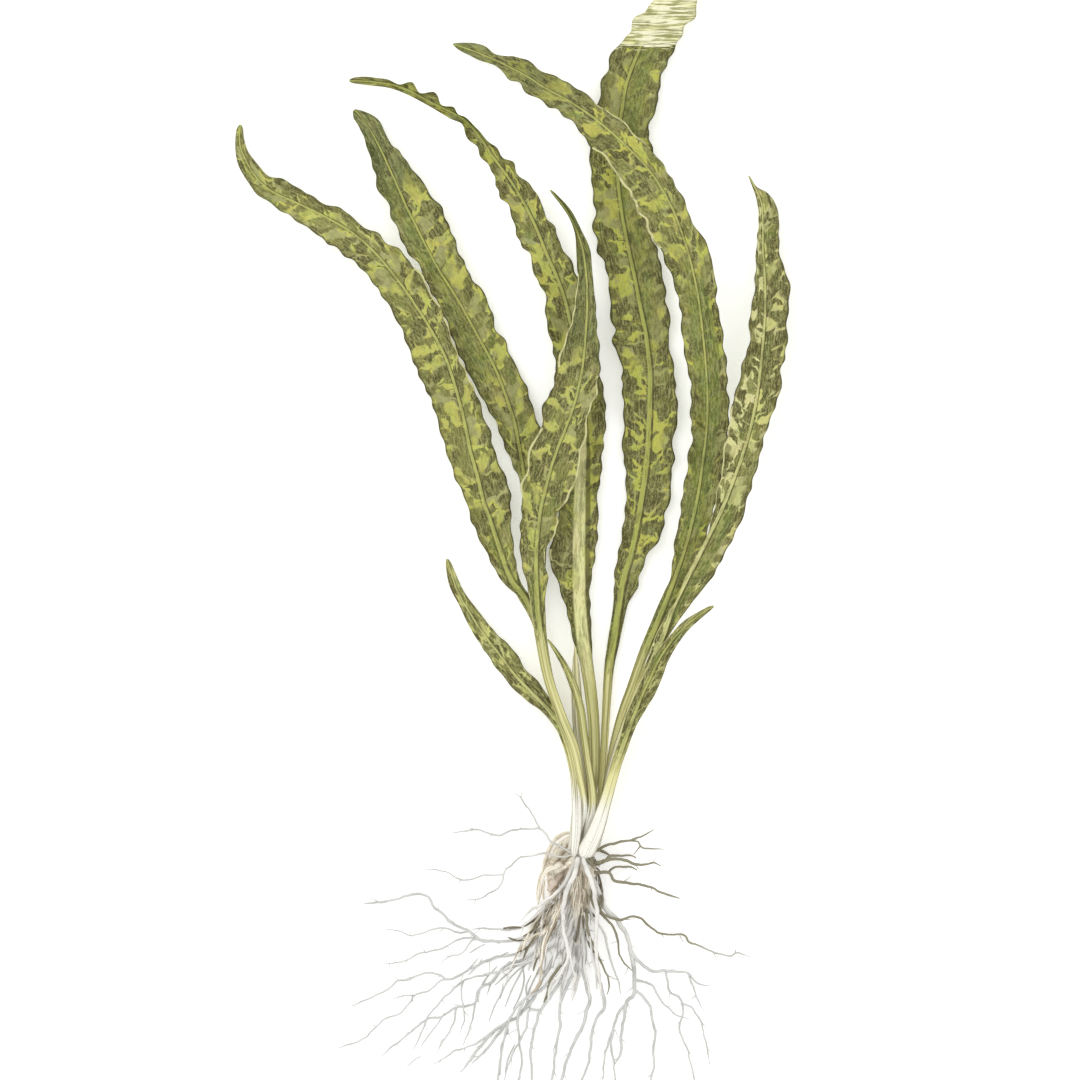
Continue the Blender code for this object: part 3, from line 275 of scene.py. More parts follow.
            (715, 278), (711, 265), (709, 250), (703, 240), (697, 230), (690, 222), (688, 212), (683, 200),
            (677, 190), (670, 178), (660, 162), (652, 152), (640, 140), (630, 130), (620, 119), (607, 112),
            (597, 104), (586, 95), (580, 90), (570, 85), (560, 78), (550, 75), (540, 70), (530, 62),
            (520, 57), (500, 55), (492, 52), (485, 45), (470, 42), (452, 42)],
    },
    "leaf_right": {
        "stalk": [
            (592, 852, 7.3, 3.2), (598, 830, 7.7, 3.2), (604.5, 800, 8.4, 3.4), (611, 768, 9.4, 3.6),
            (619, 742, 10, 3.8), (629.5, 712, 11, 4), (640.5, 685, 12, 4.4), (652, 660, 13, 5)],
        "rib": [
            (663, 635, 14), (673, 607, 15), (686, 580, 16), (698, 557, 17), (710, 533, 18),
            (722, 508, 18.6), (733, 480, 18.6), (742, 455, 18), (750, 428, 17), (756, 400, 15.5),
            (760, 370, 13.5), (763, 340, 11.5), (765, 310, 9.5), (765, 280, 7.5), (763, 250, 5.8),
            (763, 222, 4.2), (761, 200, 2.8), (749, 175, 1.4)],
        "left": [
            (656, 634), (668, 612), (676, 600), (684, 580), (690, 567), (697, 553), (705, 540), (711, 520),
            (714, 505), (718, 485), (722, 470), (722, 455), (727, 435), (730, 415), (732, 402), (736, 390),
            (740, 375), (743, 360), (749, 345), (749, 325), (750, 312), (753, 300), (755, 280), (756, 260),
            (757, 240), (759, 220), (757, 200), (752, 185), (748, 175)],
        "right": [
            (671, 632), (690, 605), (700, 592), (708, 583), (716, 570), (722, 558), (729, 545), (735, 533),
            (741, 520), (745, 505), (750, 490), (754, 475), (760, 455), (762, 445), (766, 430), (772, 415),
            (776, 402), (781, 390), (780, 372), (784, 360), (787, 340), (787, 320), (789, 305), (790, 290),
            (788, 277), (783, 265), (780, 255), (779, 235), (779, 215), (776, 205), (772, 197), (765, 190),
            (757, 187), (750, 174)],
    },
    "leaf_small_right": {
        "stalk": [
            (583.5, 859, 9.6, 3.2), (584.5, 856, 10.0, 6.8), (586.5, 851, 10.3, 9.3), (596, 830, 11, 8.2),
            (605, 803, 11.8, 6), (611, 782, 12.4, 5.4), (617, 762, 12.9, 5.2), (624, 742, 13.3, 5.6)],
        "rib": [
            (632, 720, 13.9), (642, 695, 15), (650, 678, 16), (659, 659, 17.2), (671, 641, 18.6),
            (685, 626, 20), (700, 614, 21), (713, 606, 21.6)],
        "left": [
            (625, 717), (634, 695), (643, 676), (654, 654), (667, 638), (683, 621), (699, 611), (712, 604)],
        "right": [
            (638, 722), (653, 697), (661, 680), (667, 663), (676, 646), (688, 630), (702, 617), (714, 607)],
    },
    "leaf_small_left": {
        "stalk": [
            (574, 857, 9.6, 1.6), (574.4, 852, 9.9, 3.6), (576.6, 828, 10.7, 5.4), (576.6, 800, 10.9, 4.8),
            (574.4, 775, 10.5, 4.4), (569.5, 752, 9.9, 4.4), (563, 733, 9.5, 4.6)],
        "rib": [
            (556, 719, 9.2), (545, 706, 8.8), (530, 691, 8), (514, 674, 7), (499, 654, 6), (482, 632, 4.8),
            (468, 610, 3.6), (456, 588, 2.6), (447, 559, 1.6)],
        "left": [
            (551, 722), (540, 710), (522, 697), (505, 679), (488, 656), (470, 628), (460, 607), (449, 585),
            (445, 560)],
        "right": [
            (559, 715), (553, 704), (540, 684), (523, 666), (515, 651), (496, 633), (476, 608), (463, 590),
            (450, 560)],
    },
    "leaf_young": {
        "stalk": [
            (583, 852, 7.3, 1.8), (587, 830, 7.9, 3.2), (591.5, 812, 8.9, 5.0), (592.5, 797, 9.7, 5.2),
            (590.6, 780, 10.4, 4.2), (587.4, 760, 11.2, 3.8), (584.2, 735, 12.4, 4.0),
            (580.6, 710, 13.8, 4.2), (574.4, 688, 15.2, 4.2), (566, 668, 16.6, 3.4), (556, 651, 17.9, 2.2),
            (547.5, 639, 18.8, 0.9)],
    },
    "sheath_old": {
        "stalk": [
            (586, 852, 1.5, 3.2), (586, 812, 2.4, 4.2), (583.5, 775, 3.2, 5.0), (578.5, 730, 4.2, 5.4),
            (576.5, 692, 5, 5.2), (575.8, 668, 5.4, 3.6), (575.3, 647, 5.6, 0.9)],
    },
}

# The leaves that are all stalk, each with its thickness as a share of its width
PRESSED = {"leaf_young": 0.95, "sheath_old": 0.55}

# A leaf's look: the shares of dark and of bright blocks, below its middle and above it; how plain and
# green its left and right halves are, and between which shares of its length; how creamy the light parts
# of those halves are; how dull its network is; how dark its tip is, and over which shares; how dark its
# margin's lobes are; how creamy its rib is near the foot and near the tip; and the squares from its foot
# between which the white sheath turns into the pale stalk, and those between which the blade's skin
# begins. What a leaf doesn't name is as usual.
USUAL_LOOK = {"bright": (0.0, 0.0), "calm": (0.0, 0.0, 0.0, 1.0), "cream": (0.1, 0.1), "dull": 0.1,
              "tip": (0.1, 0.8, 0.98), "lobes": 0.0, "rib": (0.1, 0.1)}
LOOKS = {
    "leaf_far_left": {
        "dark": (0.44, 0.44), "bright": (0.18, 0.18), "calm": (0.35, 0.1, 0.0, 0.4),
        "tip": (0.0, 0.8, 0.98), "lobes": 0.55, "white": (26, 70), "skin": (232, 262)},
    "leaf_left": {
        "dark": (0.42, 0.42), "bright": (0.28, 0.29), "calm": (0.75, 0.0, 0.6, 1.0), "cream": (0.05, 0.05),
        "tip": (0.95, 0.80, 0.98), "lobes": 0.8, "rib": (0.0, 0.0), "white": (26, 70), "skin": (225, 258)},
    "leaf_arching_left": {
        "dark": (0.48, 0.48), "bright": (0.20, 0.20), "calm": (0.1, 0.3, 0.2, 0.5), "cream": (0.05, 0.05),
        "tip": (0.3, 0.80, 0.98), "lobes": 0.85, "rib": (0.95, 0.05), "white": (34, 62),
        "skin": (150, 212)},
    "leaf_centre_front": {
        "dark": (0.56, 0.56), "bright": (0.18, 0.18), "calm": (0.1, 0.3, 0.75, 1.0), "dull": 0.2,
        "tip": (0.82, 0.66, 0.84), "lobes": 0.5, "white": (42, 66), "skin": (212, 240)},
    "leaf_tall": {
        "dark": (0.78, 0.42), "bright": (0.02, 0.38), "calm": (0.0, 0.62, 0.52, 1.0), "cream": (0.0, 0.0),
        "tip": (0.0, 0.8, 0.98), "lobes": 0.8, "rib": (0.0, 0.0), "white": (30, 60), "skin": (165, 200)},
    "leaf_arching_right": {
        "dark": (0.46, 0.46), "bright": (0.17, 0.17), "calm": (0.62, 0.52, 0.2, 0.62), "cream": (0.0, 0.0),
        "tip": (0.6, 0.78, 0.96), "lobes": 0.7, "white": (30, 60), "skin": (190, 230)},
    "leaf_right": {
        "dark": (0.60, 0.60), "bright": (0.16, 0.16), "calm": (0.0, 0.55, 0.2, 0.5), "cream": (0.8, 0.42),
        "lobes": 0.75, "rib": (0.6, 0.4), "white": (40, 170), "skin": (180, 208)},
    "leaf_small_right": {
        "dark": (0.64, 0.64), "bright": (0.12, 0.12), "calm": (0.3, 0.3, 0.0, 1.0), "dull": 0.65,
        "lobes": 0.4, "rib": (0.3, 0.1), "white": (42, 84), "skin": (96, 128)},
    "leaf_small_left": {
        "dark": (0.55, 0.55), "bright": (0.14, 0.14), "cream": (0.35, 0.35), "dull": 0.2,
        "lobes": 0.6, "rib": (0.5, 0.3), "white": (48, 100), "skin": (106, 128)},
    "leaf_young": {
        "dark": (0.9, 0.9), "cream": (0.2, 0.2), "dull": 0.0,
        "tip": (0.3, 0.8, 0.98), "rib": (0.2, 0.2), "white": (42, 54), "skin": (130, 210)},
    "sheath_old": {
        "dark": (0.0, 0.0), "cream": (0.9, 0.9), "dull": 0.0,
        "tip": (0.0, 0.8, 0.98), "rib": (0.5, 0.5), "white": (34, 260), "skin": (900, 901)},
}

# How plain and green some blades are near their feet
GREEN_FEET = {"leaf_far_left": 0.3, "leaf_arching_left": 0.75, "leaf_centre_front": 0.75, "leaf_tall": 0.75,
              "leaf_arching_right": 0.5}

# Pen strokes over a blade, as (pattern, which side of it, from, to, share that dark blocks add, share
# elsewhere, whether they keep off the light parts, colour)
STROKES = [
    ("strokes", "above", 0.49, 0.60, 0.34, 0.26, True, "margin"),
    ("strokes", "below", 0.38, 0.48, 0.22, 0.24, False, "leaf_soft"),
    ("hatch", "above", 0.50, 0.62, 0.30, 0.42, True, "margin"),
    ("grain", "above", 0.53, 0.66, 0.25, 0.46, True, "margin"),
    ("hatch", "below", 0.36, 0.47, 0.00, 0.54, True, "leaf_soft"),
    ("grain", "below", 0.34, 0.46, 0.20, 0.32, False, "leaf_soft"),
]

# Half width in squares of each midrib's pale band, as (share of the rib from its foot, half width)
RIB_WIDTHS = {
    "": [(0.0, 2.6), (0.12, 1.9), (0.4, 1.3), (0.8, 1.0), (1.0, 0.7)],
    "leaf_arching_left": [(0.0, 6.6), (0.10, 6.4), (0.22, 6.4), (0.30, 4.8), (0.36, 1.8), (0.6, 1.5),
                          (1.0, 0.8)],
    "leaf_tall": [(0.0, 3.2), (0.12, 2.7), (0.3, 2.5), (0.5, 1.7), (0.8, 1.5), (1.0, 1.5)],
    "leaf_right": [(0.0, 2.6), (0.2, 1.9), (0.5, 1.4), (1.0, 0.7)],
    "leaf_arching_right": [(0.0, 2.6), (0.12, 1.6), (0.3, 1.0), (0.8, 1.0), (1.0, 0.7)],
    "leaf_small_left": [(0.0, 2.2), (0.3, 1.3), (1.0, 0.6)],
    "leaf_young": [(0.0, 0.9), (1.0, 0.9)],
    "leaf_small_right": [(0.0, 2.0), (0.3, 1.2), (1.0, 0.6)],
}

# Each root's runs as (radius at the start in mm, radius at the end, corners of the sheet)
ROOTS = {
    "root_left_long": [
        (0.85, 0.55, [
            (564, 898), (551, 915), (536, 929), (515, 941), (497, 942), (480, 940), (469, 932), (458, 927),
            (449, 922), (442, 914), (434, 907), (429, 899), (422, 895), (410, 896), (397, 899), (386, 902),
            (364, 904)]),
        (0.5, 0.3, [
            (469, 932), (457, 933), (444, 929), (430, 931), (420, 934), (409, 936), (397, 931), (385, 930)]),
        (0.5, 0.3, [
            (480, 940), (466, 938), (453, 943), (440, 950), (427, 953), (415, 955), (404, 962), (383, 965)]),
        (0.45, 0.3, [(487, 941), (474, 940), (466, 949), (459, 955), (449, 958), (440, 964)]),
    ],
    "root_left_upper": [
        (0.8, 0.5, [(562, 889), (547, 903), (532, 919), (520, 929), (504, 930), (486, 929), (472, 930)]),
    ],
    "root_left_mid": [
        (0.9, 0.35, [
            (565, 908), (546, 931), (522, 952), (495, 958), (470, 970), (450, 980), (439, 975), (421, 975),
            (409, 980), (396, 982), (389, 989), (368, 1000), (350, 1007)]),
        (0.45, 0.35, [
            (450, 980), (440, 982), (430, 991), (413, 996), (410, 1003), (400, 1014), (385, 1020),
            (372, 1031), (359, 1042), (338, 1049)]),
        (0.4, 0.3, [(413, 996), (403, 997), (392, 1000)]),
    ],
    "root_left_low": [
        (0.95, 0.4, [
            (566, 917), (550, 940), (528, 958), (505, 967), (492, 982), (479, 990), (475, 1004),
            (460, 1007), (449, 1012), (440, 1018), (428, 1020), (412, 1031), (398, 1043), (381, 1057)]),
        (0.5, 0.35, [(475, 1004), (473, 1018), (469, 1030), (463, 1046)]),
        (0.5, 0.35, [(456, 1009), (452, 1028), (441, 1044), (437, 1054)]),
    ],
    "root_left_inner": [
        (0.8, 0.4, [
            (567, 926), (551, 948), (522, 965), (490, 974), (463, 982), (450, 993), (440, 1002),
            (430, 1015), (424, 1027), (419, 1038), (413, 1050)]),
        (0.5, 0.35, [(463, 982), (461, 995), (464, 1015), (460, 1036)]),
    ],
    "root_left_thick": [
        (1.25, 0.6, [
            (567, 936), (554, 958), (543, 979), (530, 1003), (518, 1017), (506, 1024), (491, 1034),
            (478, 1050), (470, 1062), (460, 1073)]),
        (0.8, 0.5, [(506, 1024), (497, 1037), (485, 1051), (472, 1065)]),
        (0.6, 0.35, [(491, 1034), (474, 1045), (455, 1052), (445, 1059), (433, 1065)]),
    ],
    "root_low_far_left": [
        (0.95, 0.5, [
            (568, 947), (558, 968), (543, 989), (524, 1000), (512, 1014), (507, 1030), (502, 1045),
            (500, 1060), (498, 1078), (496, 1094)]),
        (0.7, 0.45, [(524, 1000), (518, 1018), (519, 1039), (521, 1058), (521, 1072), (517, 1090)]),
    ],
    "root_low_left": [
        (1.0, 0.5, [
            (572, 957), (564, 976), (551, 996), (541, 1011), (536, 1026), (531, 1043), (531, 1058),
            (532, 1078), (531, 1096)]),
        (0.7, 0.4, [(541, 1011), (528, 1012), (526, 1030), (515, 1050), (508, 1066), (504, 1082)]),
    ],
    "root_low_mid_left": [
        (1.0, 0.5, [
            (578, 960), (570, 982), (560, 1004), (560, 1025), (557, 1045), (554, 1062), (552, 1080),
            (550, 1098)]),
    ],
    "root_low_middle": [
        (1.3, 0.6, [
            (585, 952), (583, 970), (587, 988), (590, 1001), (585, 1018), (580, 1032), (573, 1046),
            (567, 1062), (562, 1078), (556, 1096)]),
    ],
    "root_low_mid_right": [
        (1.2, 0.5, [
            (589, 938), (595, 962), (601, 984), (604, 1008), (596, 1020), (592, 1036), (590, 1054),
            (586, 1070), (581, 1086), (577, 1100)]),
    ],
    "root_right_thick": [
        (1.5, 0.6, [
            (599, 893), (606, 908), (616, 920), (627, 936), (631, 952), (634, 968), (634, 985), (633, 997),
            (627, 1004), (624, 1020), (621, 1036), (621, 1054), (615, 1065)]),
        (1.0, 0.35, [
            (631, 952), (641, 964), (652, 971), (666, 972), (678, 973), (688, 973), (698, 984), (712, 987)]),
        (0.5, 0.35, [(688, 973), (693, 988), (699, 1001), (704, 1012)]),
        (0.6, 0.35, [
            (666, 972), (670, 992), (680, 999), (683, 1014), (680, 1029), (685, 1045), (690, 1060),
            (694, 1078), (697, 1092)]),
        (0.5, 0.35, [(681, 1004), (693, 1009), (700, 1021), (704, 1036), (708, 1050), (710, 1066)]),
        (0.7, 0.35, [(634, 980), (651, 986), (660, 999), (674, 1014), (690, 1020)]),
        (0.8, 0.45, [
            (634, 990), (648, 1003), (652, 1020), (656, 1035), (653, 1052), (654, 1066), (651, 1083),
            (649, 1098)]),
        (0.7, 0.4, [(627, 1004), (619, 1013), (613, 1030), (612, 1050), (614, 1068), (615, 1088)]),
        (0.5, 0.4, [(613, 1030), (607, 1048), (604, 1066), (602, 1086)]),
    ],
    "root_right_inner": [
        (0.8, 0.35, [(592, 918), (605, 935), (608, 950), (613, 967), (618, 982), (621, 995)]),
    ],
    "root_right_dark": [
        (0.9, 0.4, [(596, 909), (610, 923), (617, 937), (620, 955), (626, 965), (633, 972)]),
    ],
    "root_under_dark": [
        (0.9, 0.4, [(588, 932), (597, 953), (603, 966), (609, 980), (607, 995)]),
    ],
    "root_right_long": [
        (0.85, 0.35, [
            (597, 901), (604, 914), (618, 919), (636, 917), (648, 925), (662, 934), (684, 936), (690, 943),
            (711, 951), (729, 957), (739, 954), (751, 958)]),
    ],
    "root_right_fork": [
        (0.95, 0.5, [(599, 873), (610, 873), (615, 880), (632, 884), (649, 887), (662, 893), (680, 899)]),
        (0.7, 0.45, [(608, 873), (615, 868), (630, 867), (637, 871)]),
    ],
    "root_right_knot": [
        (1.1, 0.5, [(600, 862), (612, 859), (626, 861), (641, 865), (653, 863), (661, 866)]),
        (0.8, 0.5, [(606, 861), (611, 856), (631, 856), (636, 859)]),
    ],
    "root_right_top": [
        (0.9, 0.4, [(604, 846), (616, 843), (629, 841), (642, 836), (654, 830)]),
        (0.45, 0.3, [(629, 841), (638, 842), (643, 848), (664, 850)]),
        (0.4, 0.3, [(641, 846), (634, 855)]),
    ],
    "root_left_top": [
        (0.6, 0.35, [
            (561, 857), (545, 854), (530, 856), (519, 858), (511, 866), (505, 872), (500, 887), (489, 894),
            (478, 899), (465, 901)]),
        (0.45, 0.3, [(504, 875), (485, 876), (474, 879), (462, 881), (452, 876), (444, 871), (425, 870)]),
    ],
    "root_left_arch": [
        (0.7, 0.4, [
            (561, 847), (549, 840), (540, 829), (525, 829), (512, 831), (500, 836), (489, 834), (477, 830),
            (453, 833)]),
        (0.5, 0.3, [(540, 829), (533, 817), (526, 807), (522, 799), (514, 793)]),
    ],
    "root_tuft": [
        (1.1, 0.5, [(562, 868), (551, 867), (543, 876), (541, 890), (538, 899)]),
        (0.9, 0.5, [(551, 867), (554, 880), (549, 893)]),
    ],
    "root_pale_crossing": [
        (1.3, 0.7, [(572, 869), (564, 884), (553, 895), (541, 903), (531, 911), (522, 920)]),
    ],
    "root_brown": [
        (1.6, 0.8, [
            (565, 900), (558, 914), (552, 928), (546, 943), (542, 958), (541, 974), (538, 986), (531, 994)]),
        (1.0, 0.6, [(552, 928), (541, 934), (531, 938), (521, 947), (515, 960), (510, 973)]),
    ],
    "root_pale_left": [
        (1.7, 0.8, [
            (575, 872), (568, 888), (563, 904), (563, 922), (566, 940), (568, 957), (560, 973), (551, 986),
            (548, 1003)]),
        (1.0, 0.6, [(566, 940), (572, 962), (574, 980), (571, 998)]),
    ],
    "root_pale_right": [
        (1.7, 0.9, [
            (586, 868), (592, 884), (596, 902), (597, 920), (595, 940), (597, 958), (599, 976), (601, 996)]),
    ],
}

# Which roots are not grey
ROOT_SLOTS = {
    "root_right_dark": "root_olive", "root_right_long": "root_olive", "root_right_fork": "root_olive",
    "root_right_knot": "root_olive", "root_under_dark": "root_olive", "root_right_top": "root_olive",
    "root_brown": "root_brown", "root_pale_left": "root_pale", "root_pale_right": "root_pale",
    "root_pale_crossing": "root_pale", "root_tuft": "root_pale",
}

# The crown: along its length from the leaves to the old end, (x, y, z of its middle, radius in mm)
CROWN = [(581.5, 854.5, 6.0, 4.9), (581.5, 862, 6.0, 5.6), (581, 872, 5.9, 5.7), (581, 882, 5.6, 5.2),
         (580.5, 892, 5.2, 4.6), (580.5, 902, 4.8, 3.8), (580, 914, 4.3, 3.0), (579, 926, 3.6, 2.3),
         (578, 938, 3.0, 1.7), (577, 948, 2.4, 1.0)]

# Where the roots that come out over the crown begin: (x, y, z)
EMERGING = {"root_pale_left": (578.0, 858.0, 9.0), "root_pale_right": (583.0, 857.0, 9.5),
            "root_pale_crossing": (576.0, 862.0, 8.4)}

# Girth of some roots as a share of the others'
SLIMMER = {"root_pale_left": 0.84, "root_pale_right": 0.84, "root_pale_crossing": 0.90, "root_brown": 0.9}

# Single strands: the crown's knots and old fibres, and the finest grey and pale roots, as (colour,
# thickness in mm, height above what lies below, corners of the sheet)
KNOTS = [
    ("tan", 1.5, 0.2, [(574, 833), (564, 834), (555, 840), (549, 850), (545, 861), (542, 874)]),
    ("tan", 1.2, 0.4, [(573, 839), (565, 841), (558, 847), (554, 856), (550, 866)]),
    ("tan", 1.0, 0.6, [(572, 846), (566, 846), (561, 851), (562, 858), (567, 861)]),
    ("tan", 1.0, 0.5, [(574, 853), (567, 855), (560, 861), (553, 865), (546, 868)]),
    ("tan", 0.8, 0.2, [(566, 868), (556, 868), (547, 872), (542, 882), (541, 895)]),
    ("tan", 0.7, 0.0, [(549, 856), (544, 868), (540, 882), (539, 897)]),
    ("tan", 0.6, 0.0, [(546, 864), (540, 876), (537, 890), (537, 902)]),
    ("tan", 3.6, -0.9, [(574, 838), (564, 845), (556, 857), (551, 870)]),
    ("tan", 3.2, -0.8, [(576, 850), (567, 856), (559, 866), (552, 878)]),
    ("tan", 2.4, -0.3, [(572, 862), (564, 866), (556, 872), (549, 880)]),
    ("knot", 3.4, -0.5, [(566, 866), (560, 874), (554, 883), (549, 892)]),
    ("knot", 1.5, 0.5, [(568, 868), (562, 876), (556, 886), (550, 896)]),
    ("tan", 1.6, 0.3, [(572, 872), (566, 882), (559, 891), (552, 899)]),
    ("tan", 0.7, 0.9, [(563, 869), (557, 877), (552, 887)]),
    ("tan", 0.8, 0.2, [(545, 880), (543, 892), (544, 905)]),
    ("tan", 0.7, 0.2, [(541, 884), (540, 896), (537, 908)]),
    ("olive", 1.1, 0.3, [(588, 852), (595, 850), (603, 852), (610, 856)]),
    ("olive", 1.3, 0.3, [(587, 858), (591, 864), (598, 864), (606, 861)]),
    ("olive", 0.9, 0.2, [(592, 853), (591, 859), (594, 866), (600, 871)]),
    ("dark", 1.0, 0.0, [(581, 908), (579, 922), (577, 936), (573, 949)]),
    ("dark", 0.9, 0.2, [(583, 920), (585, 931), (588, 943)]),
    ("dark", 1.2, 0.3, [(587, 911), (591, 914), (596, 918)]),
    ("dark", 1.1, 0.0, [(588, 942), (591, 948), (594, 953)]),
    ("dark", 0.9, 0.0, [(568, 950), (567, 956), (565, 961)]),
    ("olive", 1.2, 0.2, [(566, 960), (558, 969), (550, 981), (548, 993), (544, 1003)]),
    ("dark", 1.0, 0.2, [(554, 905), (549, 913), (545, 922)]),
    ("dark", 0.6, 0.2, [(560, 912), (556, 924), (550, 936), (546, 949)]),
    ("dark", 0.8, 0.2, [(598, 872), (601, 884), (602, 896), (601, 908)]),
    ("tan", 1.2, 0.3, [(552, 905), (541, 915), (532, 928), (526, 940), (521, 954)]),
    ("tan", 1.0, 0.3, [(556, 912), (547, 926), (541, 942), (537, 958)]),
    ("tan", 0.9, 0.2, [(548, 930), (543, 945), (541, 962), (536, 975)]),
    ("olive", 0.8, 0.2, [(549, 908), (539, 920), (531, 934)]),
    ("olive", 0.9, 0.1, [(536, 936), (528, 948), (523, 960)]),
    ("olive", 0.8, 0.1, [(541, 950), (536, 962), (533, 972)]),
    ("dark", 0.6, 0.1, [(545, 916), (538, 926), (533, 938)]),
    ("dark", 0.9, 0.2, [(503, 929), (512, 928), (521, 928)]),
    ("dark", 1.0, 0.2, [(524, 927), (532, 922), (541, 914)]),
    ("dark", 0.8, 0.2, [(508, 938), (516, 941), (524, 941)]),
    ("dark", 0.8, 0.2, [(523, 937), (531, 932), (540, 924)]),
    ("dark", 0.7, 0.1, [(517, 953), (524, 950), (531, 945)]),
    ("grey", 0.55, 0.0, [(469, 954), (477, 949), (485, 945)]),
    ("grey", 0.60, 0.0, [(486, 963), (497, 958), (508, 953)]),
    ("grey", 0.50, 0.0, [(463, 974), (471, 967), (478, 959)]),
    ("grey", 0.50, 0.0, [(468, 976), (476, 968), (482, 960)]),
    ("grey", 0.60, 0.0, [(487, 996), (492, 982), (501, 971), (510, 962)]),
    ("grey", 0.60, 0.0, [(478, 1003), (480, 990), (487, 978), (497, 967)]),
    ("grey", 0.60, 0.0, [(489, 1022), (494, 1008), (501, 994), (503, 984)]),
    ("grey", 0.65, 0.0, [(505, 1008), (512, 990), (520, 975), (528, 960)]),
    ("grey", 0.65, 0.0, [(513, 1010), (520, 996), (524, 980), (522, 965)]),
    ("grey", 0.55, 0.0, [(500, 1000), (506, 985), (517, 972), (530, 963)]),
    ("grey", 0.55, 0.0, [(495, 986), (507, 975), (517, 966)]),
    ("grey", 0.60, 0.0, [(530, 1012), (528, 996), (534, 980), (541, 968)]),
    ("grey", 0.60, 0.0, [(521, 1016), (527, 1002), (526, 988), (531, 976)]),
    ("grey", 0.55, 0.0, [(500, 1076), (501, 1058), (504, 1042), (509, 1030)]),
    ("grey", 0.55, 0.0, [(505, 1074), (508, 1060), (515, 1045)]),
    ("grey", 0.45, 0.0, [(407, 1068), (414, 1061), (421, 1057)]),
    ("grey", 0.45, 0.0, [(421, 1047), (428, 1037), (438, 1024), (444, 1014)]),
    ("pale", 1.1, 0.5, [(545, 906), (542, 922), (541, 940), (539, 960)]),
    ("pale", 0.8, 0.6, [(556, 900), (545, 908), (535, 917), (524, 926)]),
    ("pale", 0.7, 0.5, [(551, 936), (546, 950), (545, 966), (541, 980)]),
    ("pale", 0.7, 0.4, [(530, 930), (526, 944), (519, 958)]),
    ("pale", 0.6, 0.4, [(520, 952), (511, 968), (505, 985)]),
    ("pale", 0.7, 0.4, [(572, 915), (573, 935), (577, 955), (577, 975)]),
    ("pale", 0.9, 0.4, [(574, 950), (578, 968), (577, 986), (572, 1002)]),
    ("pale", 0.8, 0.3, [(586, 948), (584, 966), (588, 984), (590, 1000)]),
    ("pale", 1.5, 0.6, [(571, 912), (567, 928), (563, 944), (561, 962)]),
    ("pale", 1.3, 0.6, [(563, 918), (558, 934), (556, 950), (552, 968)]),
    ("pale", 1.0, 0.5, [(579, 940), (581, 958), (579, 976), (573, 992)]),
    ("pale", 1.0, 0.5, [(573, 954), (566, 970), (562, 988), (560, 1004)]),
    ("pale", 0.9, 0.5, [(590, 936), (592, 954), (596, 972), (597, 990)]),
    ("pale", 0.8, 0.5, [(584, 912), (586, 926), (585, 940), (587, 954)]),
    ("pale", 0.8, 0.5, [(546, 926), (538, 942), (534, 958), (528, 972)]),
]

# Fans of old strands over the crown: (from, to, spread at each end, how many, thickest, bow, colour)
FANS = [
    ((581, 862), (580, 920), 6.0, 4.5, 22, 0.42, 0.0, "brown"),
    ((580, 866), (578, 930), 6.0, 6.0, 10, 0.45, 0.0, "tan"),
    ((584, 868), (591, 940), 6.0, 7.0, 8, 0.42, 0.0, "olive"),
    ((565, 884), (550, 940), 5.0, 7.0, 8, 0.45, 1.0, "brown"),
    ((562, 888), (548, 936), 4.0, 6.0, 18, 0.50, 1.0, "tan"),
    ((588, 850), (597, 869), 3.0, 4.0, 16, 0.50, 0.0, "olive"),
    ((568, 862), (556, 905), 6.0, 7.0, 20, 0.50, -2.0, "brown"),
    ((572, 848), (546, 888), 3.0, 5.0, 8, 0.60, -9.0, "tan"),
    ((572, 856), (556, 900), 4.0, 6.0, 14, 0.70, -5.0, "tan"),
    ((574, 868), (566, 912), 5.0, 5.0, 12, 0.55, 0.0, "tan"),
    ((594, 862), (600, 915), 2.0, 3.0, 10, 0.40, 2.0, "olive"),
    ((554, 898), (528, 950), 4.0, 8.0, 14, 0.45, 1.0, "tan"),
    ((552, 904), (530, 948), 4.0, 8.0, 8, 0.45, 1.0, "brown"),
]


def shade(red, green, blue):
    """A screen colour as the shader's linear one."""
    return tuple(c / 12.92 if c <= 0.04045 else ((c + 0.055) / 1.055) ** 2.4
                 for c in (red / 255, green / 255, blue / 255))


def colour(name, description, red, green, blue):
    return bpy.props.FloatVectorProperty(name=name, description=description, subtype="COLOR", size=3,
                                         min=0.0, max=1.0, default=shade(red, green, blue))


def length(name, description, default):
    return bpy.props.FloatProperty(name=name, description=description, unit="LENGTH", default=default)


class PlantSizes(bpy.types.PropertyGroup):
    """Sizes of the plant's fine forms."""

    leaf_step: length("Leaf step", "Distance between the rings of a leaf's mesh", 0.0007)
    blade: length("Blade", "Thickness of a leaf's blade", 0.0004)
    rib_back: length("Rib behind", "How far the midrib stands out behind the blade", 0.0006)
    rib_front: length("Rib in front", "How far the midrib stands out in front of the blade", 0.0002)
    vein_step: length("Vein step", "Distance between side veins along a leaf", 0.0080)
    pucker: length("Pucker", "Height of the blade's swellings between the side veins", 0.0004)
    ruffle: length("Ruffle", "Height of the short waves along a margin", 0.0008)
    scallop: length("Scallop", "How far those waves move a smooth margin in and out", 0.0003)
    root_share: bpy.props.FloatProperty(name="Root girth", default=0.68, min=0.4, max=1.0,
                                        description="A root's girth as a share of its solid's")
    root_step: length("Root step", "Distance between the corners of a root's line", 0.0008)
    wander: length("Wander", "How far a root wanders from its line", 0.00034)
    rootlet: length("Rootlet", "Length of the longest rootlet", 0.0050)
    rootlet_thick: length("Rootlet thickness", "Thickness of a rootlet where it leaves its root", 0.00036)
    fold: length("Crown fold", "Height of the crown's rings and folds", 0.0003)


